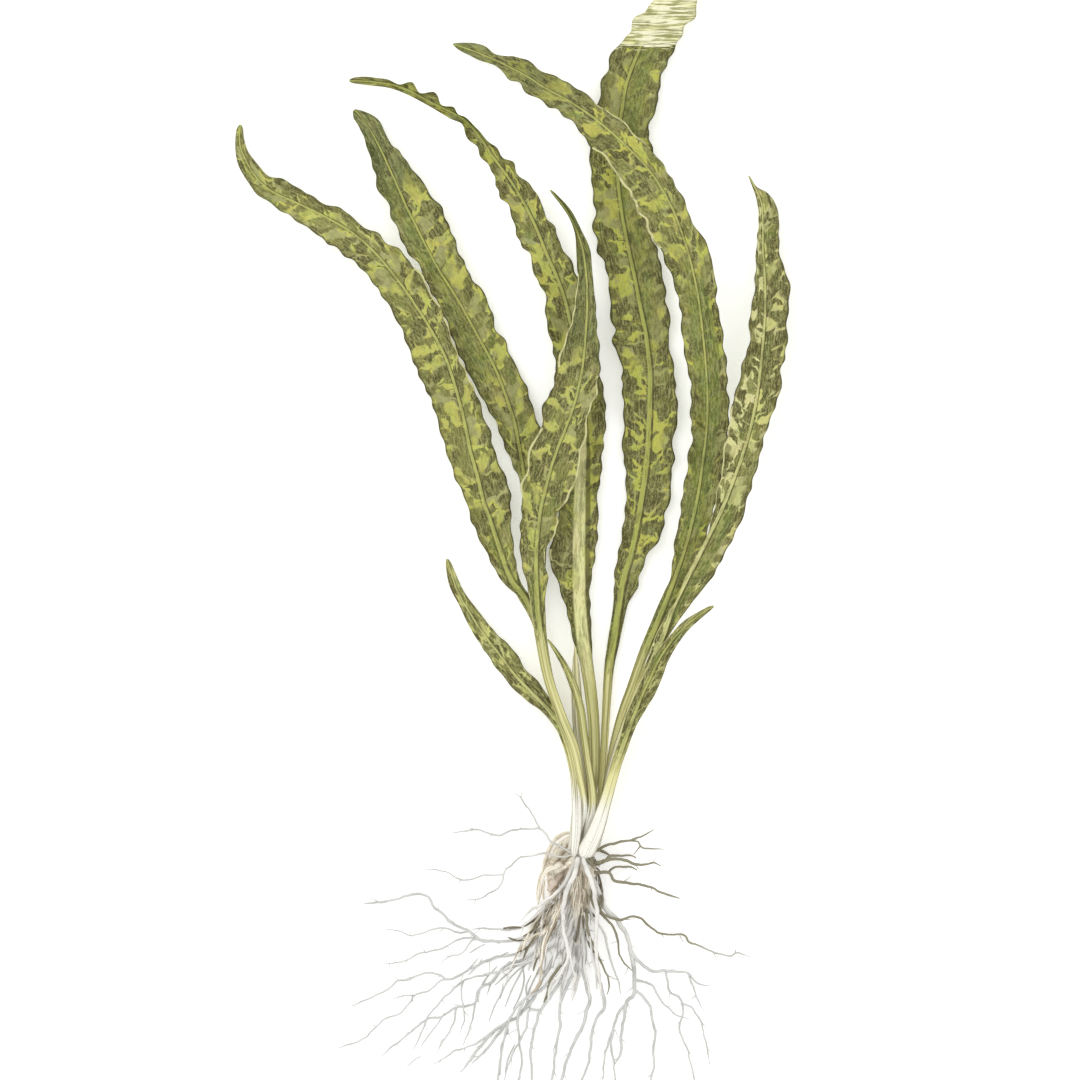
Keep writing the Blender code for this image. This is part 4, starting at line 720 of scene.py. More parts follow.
class PlantColours(bpy.types.PropertyGroup):
    """Colours of the plant and the table."""

    leaf_dark: colour("Leaf blocks", "Dark blocks of the blade", 100, 98, 48)
    leaf_olive: colour("Leaf olive", "The blade between its blocks", 135, 134, 70)
    leaf_green: colour("Leaf green", "Green wash along the blade", 114, 126, 52)
    leaf_bright: colour("Leaf patches", "Bright patches and network", 198, 199, 84)
    leaf_soft: colour("Leaf soft patches", "Soft light network", 164, 164, 106)
    leaf_tip: colour("Leaf tip", "Dark green of some leaves' tips", 74, 84, 40)
    bleached: colour("Bleached tip", "The bleached end of the tallest leaf", 244, 240, 208)
    cream: colour("Cream", "Cream of the pale ribs and rims", 231, 227, 166)
    rib: colour("Midrib", "Midrib of most leaves", 171, 176, 88)
    margin: colour("Margin", "Thin dark lines and hatching", 71, 67, 30)
    back: colour("Leaf back", "The leaf's paler back", 150, 154, 96)
    stalk: colour("Stalk", "Stalk where it meets the blade", 192, 188, 118)
    stalk_pale: colour("Pale stalk", "Stalk half way down", 222, 217, 152)
    stalk_line: colour("Stalk lines", "Dark lines along a stalk", 126, 118, 78)
    sheath: colour("Sheath", "Foot of the stalks", 246, 244, 232)
    root_pale: colour("Pale root", "Young fleshy roots", 239, 237, 230)
    root_grey: colour("Grey root", "Grown roots", 211, 212, 209)
    root_olive: colour("Olive root", "Old dark roots", 150, 148, 122)
    root_tan: colour("Tan root", "Tan strands and knots at the crown", 249, 243, 226)
    root_brown: colour("Brown root", "Old fibrous roots and the crown", 204, 189, 166)
    root_line: colour("Root lines", "Dark lines and creases of the roots", 136, 133, 123)
    root_knot: colour("Root knots", "Old knots beside the crown", 248, 234, 220)
    fibre: colour("Dark fibres", "Dark fibres of the crown and the old roots", 124, 114, 95)
    table: colour("Table", "The table's pale surface", 252, 252, 250)


class Value:
    """A number or colour that changes over a surface; sums with it add Math nodes."""

    def __init__(self, paint, socket):
        self.paint = paint
        self.socket = socket

    def __add__(self, other):
        return self.paint.maths("ADD", self, other)

    def __mul__(self, other):
        return self.paint.maths("MULTIPLY", self, other)

    def __sub__(self, other):
        return self.paint.maths("SUBTRACT", self, other)

    def __rsub__(self, other):
        return self.paint.maths("SUBTRACT", other, self)

    __radd__ = __add__
    __rmul__ = __mul__


class Paint:
    """A material's nodes."""

    def __init__(self, name):
        self.material = bpy.data.materials.new(name)
        self.material.use_nodes = True
        self.tree = self.material.node_tree
        self.shader = self.tree.nodes["Principled BSDF"]

    def node(self, kind, settings=None, inputs=(), output=0):
        """Add one node: its settings first, then the values or links of its sockets."""
        node = self.tree.nodes.new(kind)
        for key, value in (settings or {}).items():
            setattr(node, key, value)
        for key, value in inputs.items() if isinstance(inputs, dict) else enumerate(inputs):
            self.feed(node.inputs[key], value)
        return Value(self, node.outputs[output])

    def feed(self, socket, value):
        if isinstance(value, Value):
            self.tree.links.new(value.socket, socket)
        elif socket.type == "RGBA":
            socket.default_value = (*value, 1.0)
        else:
            socket.default_value = value

    def maths(self, operation, *values):
        return self.node("ShaderNodeMath", {"operation": operation}, values)

    def attribute(self, name):
        return self.node("ShaderNodeAttribute", {"attribute_name": name}, output="Fac")

    def vector(self, x, y, z=0.0):
        return self.node("ShaderNodeCombineXYZ", {}, (x, y, z))

    def place(self):
        """The point of the surface, in metres."""
        return self.node("ShaderNodeTexCoord", output="Object")

    def stretched(self, x, y, z):
        """The point of the surface, scaled along each axis."""
        return self.node("ShaderNodeMapping", {}, {"Vector": self.place(), "Scale": (x, y, z)})

    def noise(self, place, scale, detail=2.0, rough=0.5):
        inputs = {"Vector": place, "Scale": scale, "Detail": detail, "Roughness": rough}
        return self.node("ShaderNodeTexNoise", {}, inputs)

    def step(self, value, low, high):
        """0 below low, 1 above high, and a smooth rise between."""
        inputs = {"Value": value, "From Min": low, "From Max": high}
        return self.node("ShaderNodeMapRange", {"interpolation_type": "SMOOTHSTEP"}, inputs)

    def fall(self, value, low, high):
        """1 below low, 0 above high, and a smooth fall between."""
        return 1.0 - self.step(value, low, high)

    def line(self, value, at, half):
        """1 where the value is at, fading to 0 at half away."""
        return self.fall(self.maths("ABSOLUTE", value - at), half * 0.4, half)

    def mix(self, share, low, high):
        """From one colour to another."""
        mixer = self.tree.nodes.new("ShaderNodeMix")
        mixer.data_type = "RGBA"
        self.feed(mixer.inputs[0], share)
        self.feed(mixer.inputs[6], low)
        self.feed(mixer.inputs[7], high)
        return Value(self, mixer.outputs[2])

    def finish(self, base, rough, height=None, depth=0.0002, shine=0.5):
        """Feed the shader: colour, roughness, shine, and a bump whose full height is depth, in metres."""
        self.feed(self.shader.inputs["Base Color"], base)
        self.feed(self.shader.inputs["Roughness"], rough)
        self.shader.inputs["Specular IOR Level"].default_value = shine
        if height is not None:
            bump = self.node("ShaderNodeBump", {}, {"Height": height, "Distance": depth, "Strength": 0.6})
            self.feed(self.shader.inputs["Normal"], bump)
        return self.material


class LeafPaint(Paint):
    """A leaf's nodes: what its mesh tells about each point, and the noises that follow the leaf."""

    def __init__(self, name, order, colours):
        super().__init__(name + "_skin")
        self.look = {**USUAL_LOOK, **LOOKS[name]}
        self.green_foot = GREEN_FEET.get(name, 0.0)
        self.colours = colours
        self.shift = order * LEAF_SHIFT
        self.along = self.attribute("along")
        self.across = self.attribute("across")
        self.side = self.attribute("side")
        self.vein = self.attribute("vein")
        self.share = self.attribute("share")
        self.out = self.maths("ABSOLUTE", self.side)
        self.ripple = self.maths("COSINE", self.vein * (2 * math.pi))
        self.side_vein = self.step(self.ripple, 0.95, 1.0)
        self.slow = self.noise(self.vector(self.along * 30, self.side * 1.2, self.shift), 1.0, 1.0)
        self.bend = self.streaks(240, 240, 3.0, rough=0.5) - 0.5
        self.hatch = self.streaks(420, 2100)
        self.grain = self.streaks(1700, 1700)

    def streaks(self, lengthways, crossways, offset=0.0, detail=2.0, rough=0.6):
        """A noise with so many cells a metre along the leaf and across it."""
        place = self.vector(self.along * lengthways, self.across * crossways, self.shift + offset)
        return self.noise(place, 1.0, detail, rough)

    def halves(self, left, right):
        """One value on the leaf's left half and another on its right."""
        return self.step(self.side, -0.08, 0.08) * (right - left) + left

    def calmness(self):
        """How plain and green the blade is: near its foot, and on the halves that its look names."""
        left, right, start, end = self.look["calm"]
        calm = self.halves(left, right) * self.step(self.share, start - 0.05, start + 0.05)
        calm = calm * self.fall(self.share, end - 0.05, end + 0.10)
        blade_from = self.look["skin"][1] * SQUARE
        calm = calm + self.fall(self.along, blade_from, blade_from + 0.030) * self.green_foot
        margin = self.step(self.out + self.bend * 0.6, 0.50, 0.80)
        return self.step(calm + self.slow - 0.5 - margin * 0.35, 0.25, 0.55)

    def marbled(self, calm):
        """Blocks in a light network: the colour, and where it is dark, bright and off the network."""
        colours = self.colours
        bend_out = self.streaks(240, 240, 11.0, rough=0.5) - 0.5

        # blocks between the side veins, each with random numbers of its own
        cell = self.vector(self.vein * 1.75 + self.bend * 1.5 + self.shift,
                           self.side * 1.6 + bend_out * 1.3 + self.shift * 3.1)
        flat = {"voronoi_dimensions": "2D"}
        inputs = {"Vector": cell, "Scale": 1.0, "Randomness": 0.85}
        soft = {**inputs, "Smoothness": 0.30}
        block = self.node("ShaderNodeTexVoronoi", {**flat, "feature": "SMOOTH_F1"}, soft, "Color")
        chance = self.node("ShaderNodeSeparateColor", {}, (block,), 0)
        second = self.node("ShaderNodeSeparateColor", {}, (block,), 1)
        gap = self.node("ShaderNodeTexVoronoi", {**flat, "feature": "DISTANCE_TO_EDGE"}, inputs)
        net = self.streaks(170, 170, 5.0, rough=0.5)
        inside = self.step(gap - self.step(net, 0.36, 0.66) * 0.25 + self.bend * 0.1, -0.10, 0.02)
        core = self.step(gap + self.bend * 0.15, 0.02, 0.28)

        # the ground and the light parts
        green = self.step(self.slow * 0.6 + calm * 0.25 + self.bend * 0.5 + second * 0.15, 0.34, 0.66)
        ground = self.mix(green, colours.leaf_olive, colours.leaf_green)
        vivid = self.step(net + (second - 0.5) * 0.6, 0.34, 0.60)
        light = self.mix(vivid, colours.leaf_soft, colours.leaf_bright)
        light = self.mix(self.look["dull"], light, colours.leaf_soft)
        light = self.mix(self.halves(*self.look["cream"]), light, colours.cream)

        # which blocks are dark and which bright, more of both towards the margins
        upper = self.step(self.share, 0.45, 0.62)
        low, high = self.look["dark"]
        dark = self.fall(chance - (self.out - 0.55) * 0.22 - upper * (high - low), low - 0.05, low + 0.05)
        low, high = self.look["bright"]
        bright = self.step(chance + upper * (high - low), 0.92 - low, 1.0 - low)
        bright = bright * self.step(self.out, 0.05, 0.25)
        outer = self.step(self.out + self.bend * 0.5, 0.40, 0.75)
        blocks = self.mix(dark * (core * 0.35 + outer * 0.18 + 0.47), ground, colours.leaf_dark)
        blocks = self.mix(bright * (core * 0.40 + outer * 0.15 + 0.45), blocks, light)
        marked = self.mix(inside, light, blocks)
        washed = self.mix(dark * core * 0.42, ground, colours.leaf_tip)
        return self.mix(calm * 0.74, marked, washed), dark, bright, inside

    def tipped(self, blade):
        """The leaf's tip, dark and streaked."""
        depth, start, end = self.look["tip"]
        tip = self.step(self.step(self.share, start, end) + self.bend * 0.5, 0.2, 0.8)
        pale = self.step(self.streaks(60, 900, 2.0), 0.46, 0.62) * 0.45
        return self.mix(tip * depth, blade, self.mix(pale, self.colours.leaf_tip, self.colours.back))

    def hatched(self, blade, shaded, clean):
        """Side veins, pen strokes, hatching and grain."""
        blade = self.mix(self.side_vein * 0.14, blade, self.colours.rib)
        patterns = {"strokes": self.streaks(230, 1150, 7.0), "hatch": self.hatch, "grain": self.grain}
        for pattern, where, low, high, added, least, keeps_off, tint in STROKES:
            edge = self.step if where == "above" else self.fall
            share = edge(patterns[pattern], low, high) * (shaded * added + least)
            if keeps_off:
                share = share * clean
            blade = self.mix(share, blade, getattr(self.colours, tint))
        return blade

    def rimmed(self, blade):
        """A thin dark line along the margin, and a painted highlight along it where the leaf lies over
        another.
        """
        dark = self.step(self.out, 0.90, 0.975) * self.step(self.bend, -0.25, 0.0)
        blade = self.mix(dark * 0.75, blade, self.colours.margin)
        # painted highlight: a pale rim on the margin where the leaf lies over another
        over = self.step(self.attribute("over"), 0.35, 0.65)
        pale = over * self.step(self.out, 0.89, 0.95) * self.step(self.bend, -0.3, 0.05)
        return self.mix(pale * 0.85, blade, self.colours.cream)

    def ribbed(self, blade):
        """The midrib, worn in places, with painted shade as a dark line along each side."""
        rib = self.attribute("rib")
        away = self.maths("ABSOLUTE", rib)
        broken = self.step(self.grain + self.step(rib, -0.5, 0.5) * 0.2, 0.42, 0.56)
        # painted shade: a dark line along each side of the raised rib
        blade = self.mix(self.line(away, 1.35, 0.6) * broken * 0.7, blade, self.colours.margin)
        foot, tip = self.look["rib"]
        creamy = self.step(self.share, 0.50, 0.64) * (tip - foot) + foot
        band = self.mix(creamy, self.colours.rib, self.colours.cream)
        band = self.mix(self.step(self.hatch, 0.48, 0.66) * 0.5, band, self.colours.leaf_soft)
        worn = self.step(self.streaks(110, 900, 13.0), 0.42, 0.62)
        return self.mix(self.fall(away, 0.75, 1.1) * (0.95 - worn * 0.5), blade, band)

    def drifting(self, blade):
        """Hues that drift a little between brown and green."""
        drift = self.streaks(130, 320, 17.0, rough=0.5) - 0.5
        return self.node("ShaderNodeHueSaturation", {}, {"Hue": drift * 0.06 + 0.5, "Color": blade})

    def bleached(self, blade):
        """The bleached end of the tallest leaf, with strokes straight across."""
        place = self.stretched(150.0, 2300.0, 150.0)
        hazy = self.step(self.noise(place, 0.3, 1.0), 0.42, 0.60)
        dashes = self.noise(place, 1.0, 2.0) + self.step(self.out, 0.05, 0.35) * 0.09
        pale = self.mix(hazy * 0.8, self.colours.bleached, self.colours.cream)
        pale = self.mix(self.step(dashes, 0.54, 0.60) * 0.75, pale, self.colours.leaf_soft)
        pale = self.mix(self.step(dashes, 0.62, 0.67) * 0.70, pale, self.colours.leaf_olive)
        whole = self.step(self.attribute("bleached") - (dashes - 0.5) * 1.2, 0.56, 0.64)
        return self.mix(whole * 0.96, blade, pale)

    def stalk(self):
        """A white sheath at the foot, then pale with olive and cream lines, a painted highlight along its
        middle and painted shade at its sides.
        """
        colours = self.colours
        lines = self.streaks(26, 2300, detail=1.0, rough=0.5)
        white, pale = (squares * SQUARE for squares in self.look["white"])
        coloured = max(self.look["skin"][0] * SQUARE, pale + 0.001)
        ragged = self.along + (lines - 0.5) * 0.012
        above = self.step(ragged, white, pale)
        body = self.mix(above, colours.sheath, colours.stalk_pale)
        body = self.mix(self.step(ragged, pale, coloured), body, colours.stalk)
        lined = self.step(lines, 0.47, 0.60) * self.step(ragged, white * 0.9, (white + pale) * 0.5)
        body = self.mix(lined * 0.75, body, colours.stalk_line)
        body = self.mix(self.step(self.grain, 0.55, 0.7) * 0.25, body, colours.stalk_line)
        tinge = self.step(self.streaks(50, 900, 19.0, 1.0, 0.5), 0.50, 0.64)
        tinge = tinge * self.step(ragged, pale, pale + 0.020)
        body = self.mix(tinge * 0.30, body, colours.leaf_green)
        # painted highlight: cream along the middle of the stalk as seen from above
        body = self.mix(self.fall(self.out, 0.12, 0.55) * above * 0.50, body, colours.cream)
        body = self.mix(self.fall(lines, 0.34, 0.46) * above * 0.6, body, colours.cream)
        body = self.mix(self.step(lines, 0.50, 0.60) * (1.0 - above) * 0.32, body, colours.root_line)
        # painted shade: darker at the stalk's sides as seen from above
        return self.mix(self.step(self.out, 0.78, 0.95) * 0.65, body, colours.stalk_line)


def leaf_paint(name, order, colours):
    """Dark blocks in a light network on a green ground, a pale midrib and a lined stalk."""
    paint = LeafPaint(name, order, colours)
    calm = paint.calmness()
    blade, dark, bright, inside = paint.marbled(calm)
    lobes = paint.step(paint.ripple + paint.bend * 3.0, -0.2, 0.5)
    lobes = lobes * paint.step(paint.out + paint.bend * 0.7, 0.52, 0.72)
    blade = paint.mix(lobes * paint.look["lobes"], blade, colours.leaf_dark)
    blade = paint.tipped(blade)
    shaded = dark * inside * (1.0 - calm)
    light = paint.maths("MAXIMUM", bright, 1.0 - inside) * (1.0 - calm) * (1.0 - lobes)
    blade = paint.hatched(blade, shaded, 1.0 - light * 0.55)
    for layer in (paint.rimmed, paint.ribbed, paint.drifting, paint.bleached):
        blade = layer(blade)
    blade = paint.mix(paint.attribute("back") * 0.5, blade, colours.back)

    skin_from, skin_to = (squares * SQUARE for squares in paint.look["skin"])
    skin = paint.step(paint.along + (paint.hatch - 0.5) * 0.020, skin_from, skin_to)
    base = paint.mix(skin, paint.stalk(), blade)
    height = paint.hatch * 0.5 + paint.grain * 0.35 + paint.side_vein * skin * 0.3
    rough = 0.56 - bright * skin * 0.06 + paint.hatch * 0.08
    return paint.finish(base, rough, height, 0.00015, 0.3)


def root_paint(name, base, line, spots, near=None, far=None):
    """A root's skin: creases, painted shade where it faces sideways or down, and its turn near the crown or
    far out, as (colour, share).
    """
    paint = Paint(name + "_skin")
    place = paint.place()
    fine = paint.noise(place, 1500.0, 3.0, 0.6)
    broad = paint.noise(place, 170.0, 2.0)
    creases = paint.noise(place, 700.0, 2.0, 0.7)
    up = paint.node("ShaderNodeSeparateXYZ", {}, (paint.node("ShaderNodeNewGeometry", output="Normal"),), 2)
    middle = sheet(*CROWN_MIDDLE)
    away = paint.node("ShaderNodeVectorMath", {"operation": "DISTANCE"}, (place, middle), "Value")
    away = away + (broad - 0.5) * 0.016
    skin = base
    if near:
        skin = paint.mix(paint.fall(away, *NEAR_CROWN) * near[1], skin, near[0])
    if far:
        skin = paint.mix(paint.step(away, *FAR_OUT) * far[1], skin, far[0])
    skin = paint.mix(paint.step(broad, 0.40, 0.70) * 0.30, skin, line)
    skin = paint.mix(paint.step(creases, 0.60, 0.72) * spots, skin, line)
    # painted shade: the line colour where the surface faces sideways or down
    skin = paint.mix(paint.fall(up, 0.0, 0.85) * 0.60, skin, line)
    skin = paint.mix(paint.step(fine, 0.6, 0.75) * 0.25, skin, line)
    return paint.finish(skin, 0.62 + fine * 0.15, creases * 0.6 + fine * 0.4, 0.00012, 0.35)


def crown_paint(colours):
    """Brown and tan, with dark fibres along it, white under the leaves and pale at its old end."""
    paint = Paint("crown_skin")
    place = paint.place()
    fibres = paint.noise(paint.stretched(2600.0, 260.0, 2600.0), 1.0, 3.0)
    blotch = paint.noise(place, 260.0, 2.0)
    down = paint.node("ShaderNodeSeparateXYZ", {}, (place,), 1)
    top = sheet(0, CROWN_TOP, 0)[1]
    skin = paint.mix(paint.step(blotch, 0.40, 0.65) * 0.6, colours.root_brown, colours.root_tan)
    skin = paint.mix(paint.step(fibres, 0.52, 0.66) * 0.6, skin, colours.fibre)
    skin = paint.mix(paint.step(fibres, 0.30, 0.42), colours.root_grey, skin)
    skin = paint.mix(paint.fall(down, top - 0.026, top - 0.016) * 0.75, skin, colours.root_pale)
    skin = paint.mix(paint.step(down, top - 0.004, top) * 0.8, skin, colours.sheath)
    return paint.finish(skin, 0.7 + blotch * 0.1, fibres + blotch * 0.5, 0.0004)


def sheet(x, y, z):
    """A point of the sheet, in metres."""
    return ((x - SHEET_X) * SQUARE, (SHEET_Y - y) * SQUARE, z * MM)


def ease(low, high, value):
    """0 below low, 1 above high, and a smooth rise between."""
    t = np.clip((np.asarray(value, float) - low) / (high - low), 0.0, 1.0)
    return t * t * (3.0 - 2.0 * t)


def route_length(points):
    """Squares along a route, measured on the sheet."""
    places = np.array([point[:2] for point in points], dtype=float)
    return float(np.hypot(*np.diff(places, axis=0).T).sum())


def places_along(points):
    """Squares from the first point to each point, measured on the sheet."""
    return np.concatenate([[0.0], np.cumsum(np.hypot(*np.diff(points[:, :2], axis=0).T))])


def curve_through(points, count):
    """A smooth curve through the points, cut into equal steps of its length on the sheet."""
    points = np.array(points, dtype=float)
    dense = []
    for i in range(len(points) - 1):
        a = points[max(i - 1, 0)]
        b = points[i]
        c = points[i + 1]
        d = points[min(i + 2, len(points) - 1)]
        for t in np.linspace(0.0, 1.0, STEPS_BETWEEN, endpoint=False):
            curve = 2 * b + (c - a) * t + (2 * a - 5 * b + 4 * c - d) * t ** 2
            dense.append(0.5 * (curve + (3 * b - a - 3 * c + d) * t ** 3))
    dense.append(points[-1])
    dense = np.array(dense)
    run = places_along(dense)
    at = np.linspace(0.0, run[-1], count)
    return np.stack([np.interp(at, run, column) for column in dense.T], axis=1)


def leftward(route):
    """The leftward unit normal on the sheet at each point of a route."""
    tangent = np.gradient(route[:, :2], axis=0)
    tangent /= np.hypot(tangent[:, 0], tangent[:, 1])[:, None]
    return np.stack([tangent[:, 1], -tangent[:, 0]], axis=1)


def wobble(at, wave, seed):
    """A smooth uneven wave between about -1 and 1."""
    chance = random.Random(seed)
    total = np.zeros(len(at))
    for k in (0.6, 1.0, 1.7, 2.6):
        total += np.sin(2 * math.pi * at * k / wave + chance.uniform(0.0, 2 * math.pi)) / (k + 0.6)
    return total / 2.2


def evened(values, reach):
    """A running mean over so many neighbours each way."""
    kernel = np.hanning(2 * reach + 3)[1:-1]
    padded = np.concatenate([np.full(reach, values[0]), values, np.full(reach, values[-1])])
    return np.convolve(padded, kernel / kernel.sum(), mode="valid")


def margin_widths(route, outward, margin):
    """Squares from each point of the rib to the margin, straight across the leaf."""
    start = margin[:-1]
    edge = margin[1:] - start
    gap = start[None, :, :] - route[:, None, :2]
    out_x = outward[:, 0][:, None]
    out_y = outward[:, 1][:, None]
    cross = out_x * -edge[:, 1] + out_y * edge[:, 0]
    cross = np.where(np.abs(cross) < 1e-9, 1e-9, cross)
    away = (gap[:, :, 0] * -edge[:, 1] + gap[:, :, 1] * edge[:, 0]) / cross
    on_edge = (out_x * gap[:, :, 1] - out_y * gap[:, :, 0]) / cross
    met = (away > 0) & (away < WIDEST) & (on_edge >= -0.01) & (on_edge <= 1.01)
    return np.where(met, away, np.inf).min(axis=1)


def solid_tree(name):
    """A solid's faces, ready for rays."""
    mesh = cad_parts[name].data
    points = [vertex.co.copy() for vertex in mesh.vertices]
    return BVHTree.FromPolygons(points, [tuple(face.vertices) for face in mesh.polygons])


def lies_over(name, x, y, z):
    """1 where another leaf lies below each point, else 0."""
    trees = [solid_tree(other) for other in LEAVES if other != name]
    found = np.zeros(len(x))
    for i, point in enumerate(np.stack(sheet(x, y, z), axis=1)):
        hits = (tree.ray_cast(Vector(point), Vector((0, 0, -1)))[0] for tree in trees)
        found[i] = any(hit is not None for hit in hits)
    return found


def leaf_rings(name, rings):
    """Each ring's rib point, leftward normal, half widths and place along the leaf, and the stalk's end."""
    leaf = LEAVES[name]
    line = [(x, y, z, 0.0) for x, y, z, half in leaf["stalk"]]
    line += [(*point, 0.0)[:4] for point in leaf.get("rib", [])]
    route = curve_through(line, rings)
    normals = leftward(route)
    at = np.linspace(0.0, route_length(route), rings)
    stalk_at = places_along(np.array(leaf["stalk"], dtype=float))
    halves = [half for x, y, z, half in leaf["stalk"]]
    end_x, end_y, end_z, end_half = leaf["stalk"][-1]
    widths = []
    for key, sign in (("left", -1.0), ("right", 1.0)):
        width = np.interp(at, stalk_at, halves)
        if key in leaf:
            margin = [(end_x + sign * end_half, end_y)] + leaf[key]
            margin = curve_through(margin, max(60, 4 * len(margin)))
            found = margin_widths(route, -sign * normals, margin)
            found = np.where(at <= stalk_at[-1], width, found)
            found[-1] = LEAST_HALF
            known = np.isfinite(found)
            width = np.interp(at, at[known], found[known])
        widths.append(np.maximum(evened(width, 2), LEAST_HALF))
    return route, normals, widths[0], widths[1], at, stalk_at[-1]


def choose_none():
    bpy.ops.object.select_all(action="DESELECT")


def ringed_tube(name, sides, cuts):
    """A closed upright tube, cut across twice by so many cuts, and the ring and corner of each vertex."""
    choose_none()
    bpy.ops.mesh.primitive_cylinder_add(vertices=sides, radius=1.0, depth=2.0, end_fill_type="NGON")
    tube = bpy.context.object
    tube.name = name
    bpy.ops.object.mode_set(mode="EDIT")
    bpy.ops.mesh.select_mode(type="EDGE")
    for cut in cuts:
        shell = bmesh.from_edit_mesh(tube.data)
        for edge in shell.edges:
            edge.select_set(abs(edge.verts[0].co.z - edge.verts[1].co.z) > 1e-6)
        bpy.ops.mesh.subdivide(number_cuts=cut)
    bpy.ops.object.mode_set(mode="OBJECT")
    rings = math.prod(cut + 1 for cut in cuts) + 1
    places = np.empty(len(tube.data.vertices) * 3, np.float32)
    tube.data.vertices.foreach_get("co", places)
    places = places.reshape(-1, 3).astype(float)
    ring = np.rint((places[:, 2] + 1.0) / 2.0 * (rings - 1)).astype(int)
    corner = np.rint(np.arctan2(places[:, 1], places[:, 0]) / (2 * math.pi) * sides).astype(int) % sides
    return tube, rings, ring, corner


def put_places(piece, places):
    piece.data.vertices.foreach_set("co", np.asarray(places, np.float32).ravel())
    piece.data.update()


def put_attributes(piece, **layers):
    """Store one number for each vertex in each named layer."""
    for name, values in layers.items():
        layer = piece.data.attributes.new(name, "FLOAT", "POINT")
        layer.data.foreach_set("value", np.asarray(values, np.float32))


def face_outwards(piece):
    """Turn a closed piece's faces over if they look inwards."""
    shell = bmesh.new()
    shell.from_mesh(piece.data)
    inwards = shell.calc_volume(signed=True) < 0
    shell.free()
    if inwards:
        piece.data.flip_normals()


def skinned(piece, material):
    """Give a piece its one material and smooth faces."""
    piece.data.name = piece.name
    piece.data.materials.clear()
    piece.data.materials.append(material)
    piece.data.shade_smooth()


def settle(piece, slot, material, *nodes):
    """Finish a piece: its material, smooth faces, and the solids that it stands for."""
    skinned(piece, material)
    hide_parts(*nodes)
    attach(piece, "root")


def cuts_for(squares, step):
    """Two equal rounds of cuts that leave rings about a step apart."""
    each = max(5, math.ceil(math.sqrt(squares * SQUARE / step)))
    return (each - 1, each - 1)


def flatness(name, mean, at, stalk_end):
    """How flat each ring is: 0 on the round stalk and 1 in the blade, and a blade's tip stays flat."""
    if "rib" not in LEAVES[name]:
        return np.zeros(len(at))
    flat = ease(BLADE_FROM, BLADE_FULL, mean)
    kept = np.maximum.accumulate(flat) * ease(at[-1] - TIP_FROM, at[-1] - TIP_TO, at) * TIP_FLAT
    return np.where(at > stalk_end, np.maximum(flat, kept), flat)


